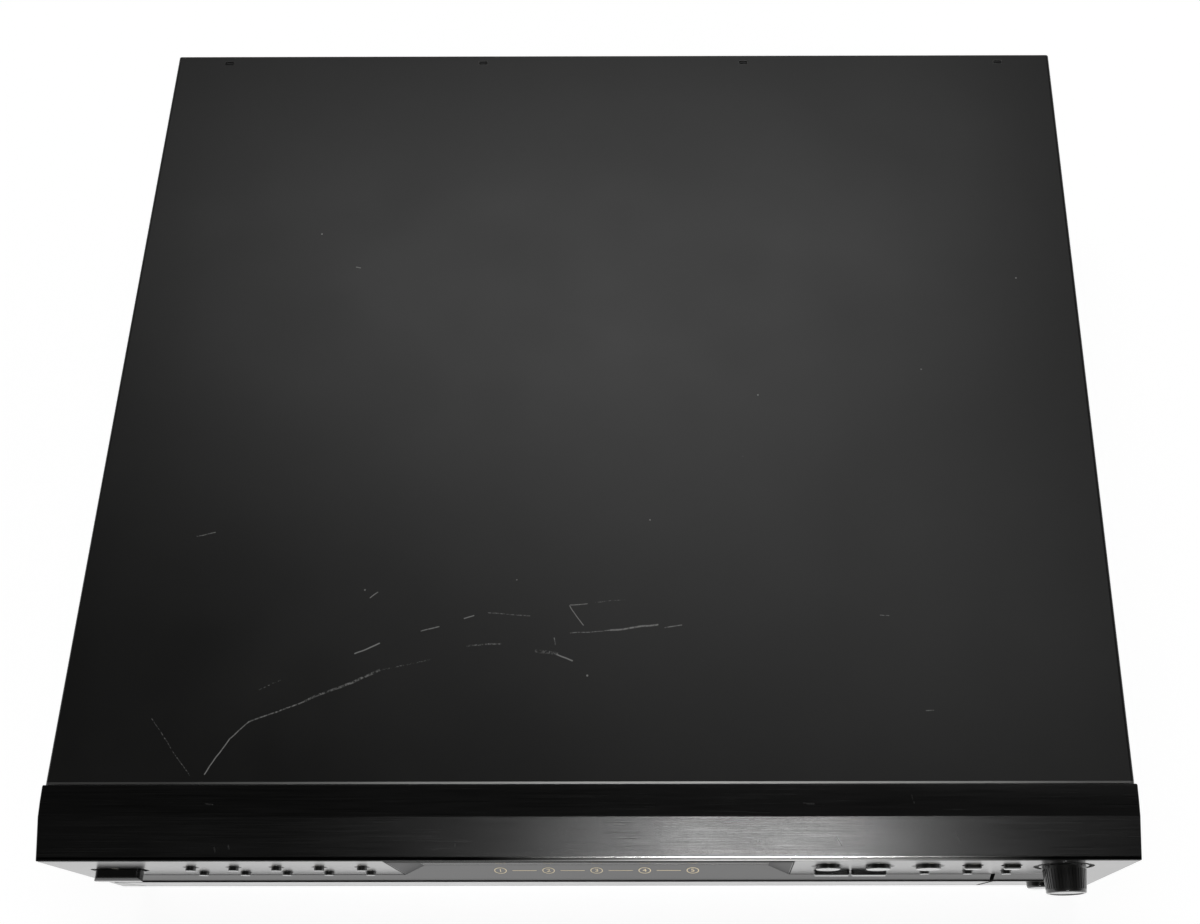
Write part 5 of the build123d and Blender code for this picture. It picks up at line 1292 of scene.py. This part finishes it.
def make_window_shade():
    """Dark strips round the display recess as painted shade, under the cap strip and beside the recess, and
    dull cheeks on the recess's leaning ends that keep them dark as painted shade.
    """
    foot, top = FASCIA_FOOT + 0.4, FASCIA_TOP - 0.1
    middle, tall = (foot + WINDOW_TOP) / 2, WINDOW_TOP - foot
    # painted shade: dark strips beside the recess and over it up to the cap strip, where the cap's underside
    # and the recess's ends are in shade
    parts = [flat_bar(side * (WINDOW_HALF + SHADE_STRIP_WIDTH / 2), 0, SHADE_STRIP_WIDTH, tall) for side in (-1, 1)]
    over = (WINDOW_TOP + top) / 2 - middle
    parts.append(flat_bar(0, over, 2 * (WINDOW_HALF + SHADE_STRIP_WIDTH), top - WINDOW_TOP))
    shade_strip = printed(parts, on_front(0, middle), SHADE_STRIP_THICK * MM)
    shade_strip.name = "window_shade_strip"
    dress(shade_strip, "rubber", "casing")
    # painted shade: dull sheets on the recess's leaning ends keep them as dark as the shade there
    inset = WINDOW_HALF - WINDOW_INNER_HALF
    cheeks = []
    for side in (-1, 1):
        turn = Matrix.Rotation(-side * atan(WINDOW_SETBACK / inset), 4, "Z")
        x = side * (WINDOW_HALF + WINDOW_INNER_HALF) / 2
        place = Matrix.Translation((x * MM, back(WINDOW_SETBACK / 2), middle * MM))
        upright = Matrix.Rotation(pi / 2, 4, "X")
        cheek = flat_bar(0, 0, hypot(inset, WINDOW_SETBACK) - 0.3, tall)
        cheeks.append(printed([cheek], place @ turn @ upright, CHEEK_THICK * MM))
    dress(join(cheeks, "window_cheek_shade"), "frame_plastic", "casing")


class OBJECT_OT_changer_front(Operator):
    """Buttons, jog knob, display and the print on the front"""

    bl_idname = "object.changer_front"
    bl_label = "Front Controls"

    def execute(self, context):
        look = context.scene.changer_front
        plain = {"depth": 0.002, "worn": 0.0, "film": 0.0}
        moulded("front_print", look.print_colour, 0.45, **plain)
        moulded("band_print", look.band_colour, 0.35, metallic=0.75, **plain)
        moulded("display_segments", (0.11, 0.14, 0.13), 0.6, **plain)
        for node in NODES:
            if node.startswith(("number_button", "small_button", "transport_button")):
                make_round_button(node)
        soften_all(FRONT_EDGES)
        make_knob(look)
        make_front_print(look)
        make_band_print(look)
        make_display_digits()
        make_window_shade()
        return {"FINISHED"}


# ---- drawer ------------------------------------------------------------------------------------
TABLE_NUMBER_CIRCLE, TABLE_NUMBER_THICK = 88.0, 0.25


def make_table_numbers(look):
    """Raised numbers beside the recesses of the disc table."""
    table = centre_of("disc_table")
    reach = TABLE_NUMBER_CIRCLE * MM
    marks = []
    for place in range(DISC_COUNT):
        turn = pi / 2 + 2 * pi * (place + 0.5) / DISC_COUNT
        centre = (table.x + reach * cos(turn), table.y + reach * sin(turn), TABLE_TOP * MM)
        matrix = Matrix.Translation(centre) @ Matrix.Rotation(turn - pi / 2, 4, "Z")
        number = flat_text(str(place + 1), look.number_size / MM)
        marks.append(printed([number], matrix, TABLE_NUMBER_THICK * MM))
    dress(join(marks, "table_numbers"), "disc_numbers", "disc_table")


class OBJECT_OT_changer_drawer(Operator):
    """Tray, its front, the disc table and its numbers"""

    bl_idname = "object.changer_drawer"
    bl_label = "Drawer"

    def execute(self, context):
        look = context.scene.changer_drawer
        moulded("disc_numbers", look.number_colour, 0.45, depth=0.004, worn=0.1, film=0.1)
        soften_all(DRAWER_EDGES)
        make_table_numbers(look)
        return {"FINISHED"}


# ---- rear --------------------------------------------------------------------------------------
SOCKET_BLOCK = (32.0, 14.0)  # width and height of the block behind the sockets
BLOCK_DEPTH = 12.0
COLLAR_RADIUS, COLLAR_HOLE, SHELL_RADIUS, CORE_RADIUS, PIN_HOLE = 6.0, 4.1, 4.15, 3.5, 1.65
COLLAR_ENDS = (BODY_DEPTH - 2.0, BODY_DEPTH + 1.2)
SHELL_ENDS = (BODY_DEPTH, BODY_DEPTH + JACK_REACH)
CORE_ENDS = (BODY_DEPTH - 8.0, BODY_DEPTH + JACK_REACH - 0.3)


def make_jacks():
    """Phono sockets: moulded block and collars, nickel shells and coloured insulators."""
    width, height = SOCKET_BLOCK
    block_middle = (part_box("line_out_jacks")[0].y + back(BODY_DEPTH - SHEET)) / 2
    block = primitive("cube", "jack_block", size=1, scale=(width * MM, BLOCK_DEPTH * MM, height * MM),
                      location=(sum(JACK_X) / 2 * MM, block_middle, JACK_HEIGHT * MM))
    rounded(block, 0.6, 3)
    pieces = [block]
    for x in JACK_X:
        collar = tube("collar", x, JACK_HEIGHT, COLLAR_RADIUS, COLLAR_HOLE, *COLLAR_ENDS)
        rounded(collar, 0.25)
        pieces.append(collar)
    dress(join(pieces, "line_out_block"), "jack_plastic", "casing", ["line_out_jacks"])
    for x, side in zip(JACK_X, ("left", "right")):
        shell = tube(f"line_out_shell_{side}", x, JACK_HEIGHT, SHELL_RADIUS, CORE_RADIUS, *SHELL_ENDS)
        rounded(shell, 0.12)
        dress(shell, "socket_nickel", "casing")
        core = tube(f"line_out_core_{side}", x, JACK_HEIGHT, CORE_RADIUS, PIN_HOLE, *CORE_ENDS)
        rounded(core, 0.15)
        dress(core, f"socket_{side}", "casing")


class OBJECT_OT_changer_rear(Operator):
    """Sockets and bush of the rear panel"""

    bl_idname = "object.changer_rear"
    bl_label = "Rear Sockets"

    def execute(self, context):
        look = context.scene.changer_rear
        turned_metal("socket_nickel", (0.75, 0.73, 0.68), 0.18, (0, 0, 0), (0, 1, 0), 3000.0)
        moulded("socket_left", look.left_ring, 0.35, depth=0.004, worn=0.0, film=0.1)
        moulded("socket_right", look.right_ring, 0.35, depth=0.004, worn=0.0, film=0.1)
        make_jacks()
        soften_all(REAR_EDGES)
        return {"FINISHED"}


class OBJECT_OT_changer_works(Operator):
    """Playing mechanism, frame, bridge and electronics"""

    bl_idname = "object.changer_works"
    bl_label = "Works"

    def execute(self, context):
        soften_all(WORKS_EDGES)
        return {"FINISHED"}


class VIEW3D_PT_changer(Panel):
    """Sizes, colours and pieces of the disc changer"""

    bl_label = "Disc Changer"
    bl_space_type = "VIEW_3D"
    bl_region_type = "UI"
    bl_category = "Disc Changer"

    def draw(self, context):
        for group in LOOKS:
            look = getattr(context.scene, group)
            for name in look.bl_rna.properties.keys():
                if name not in ("rna_type", "name"):
                    self.layout.prop(look, name)
        for operator in OPERATORS:
            self.layout.operator(operator.bl_idname)


LOOKS = {
    "changer_studio": StudioLook, "changer_casing": CasingLook, "changer_front": FrontLook,
    "changer_drawer": DrawerLook, "changer_rear": RearLook,
}
OPERATORS = (
    OBJECT_OT_changer_stage, OBJECT_OT_changer_finishes, OBJECT_OT_changer_casing, OBJECT_OT_changer_front,
    OBJECT_OT_changer_drawer, OBJECT_OT_changer_rear, OBJECT_OT_changer_works,
)


def register():
    for item in (*LOOKS.values(), *OPERATORS, VIEW3D_PT_changer):
        bpy.utils.register_class(item)
    for name, look in LOOKS.items():
        setattr(bpy.types.Scene, name, PointerProperty(type=look))


def unregister():
    for name in LOOKS:
        delattr(bpy.types.Scene, name)
    for item in (VIEW3D_PT_changer, *reversed(OPERATORS), *LOOKS.values()):
        bpy.utils.unregister_class(item)


def main():
    register()
    bpy.context.scene.view_settings.view_transform = "Standard"
    bpy.ops.object.changer_stage()
    bpy.ops.object.changer_finishes()
    bpy.ops.object.changer_casing()
    bpy.ops.object.changer_front()
    bpy.ops.object.changer_drawer()
    bpy.ops.object.changer_rear()
    bpy.ops.object.changer_works()


if __name__ == "__main__":
    main()
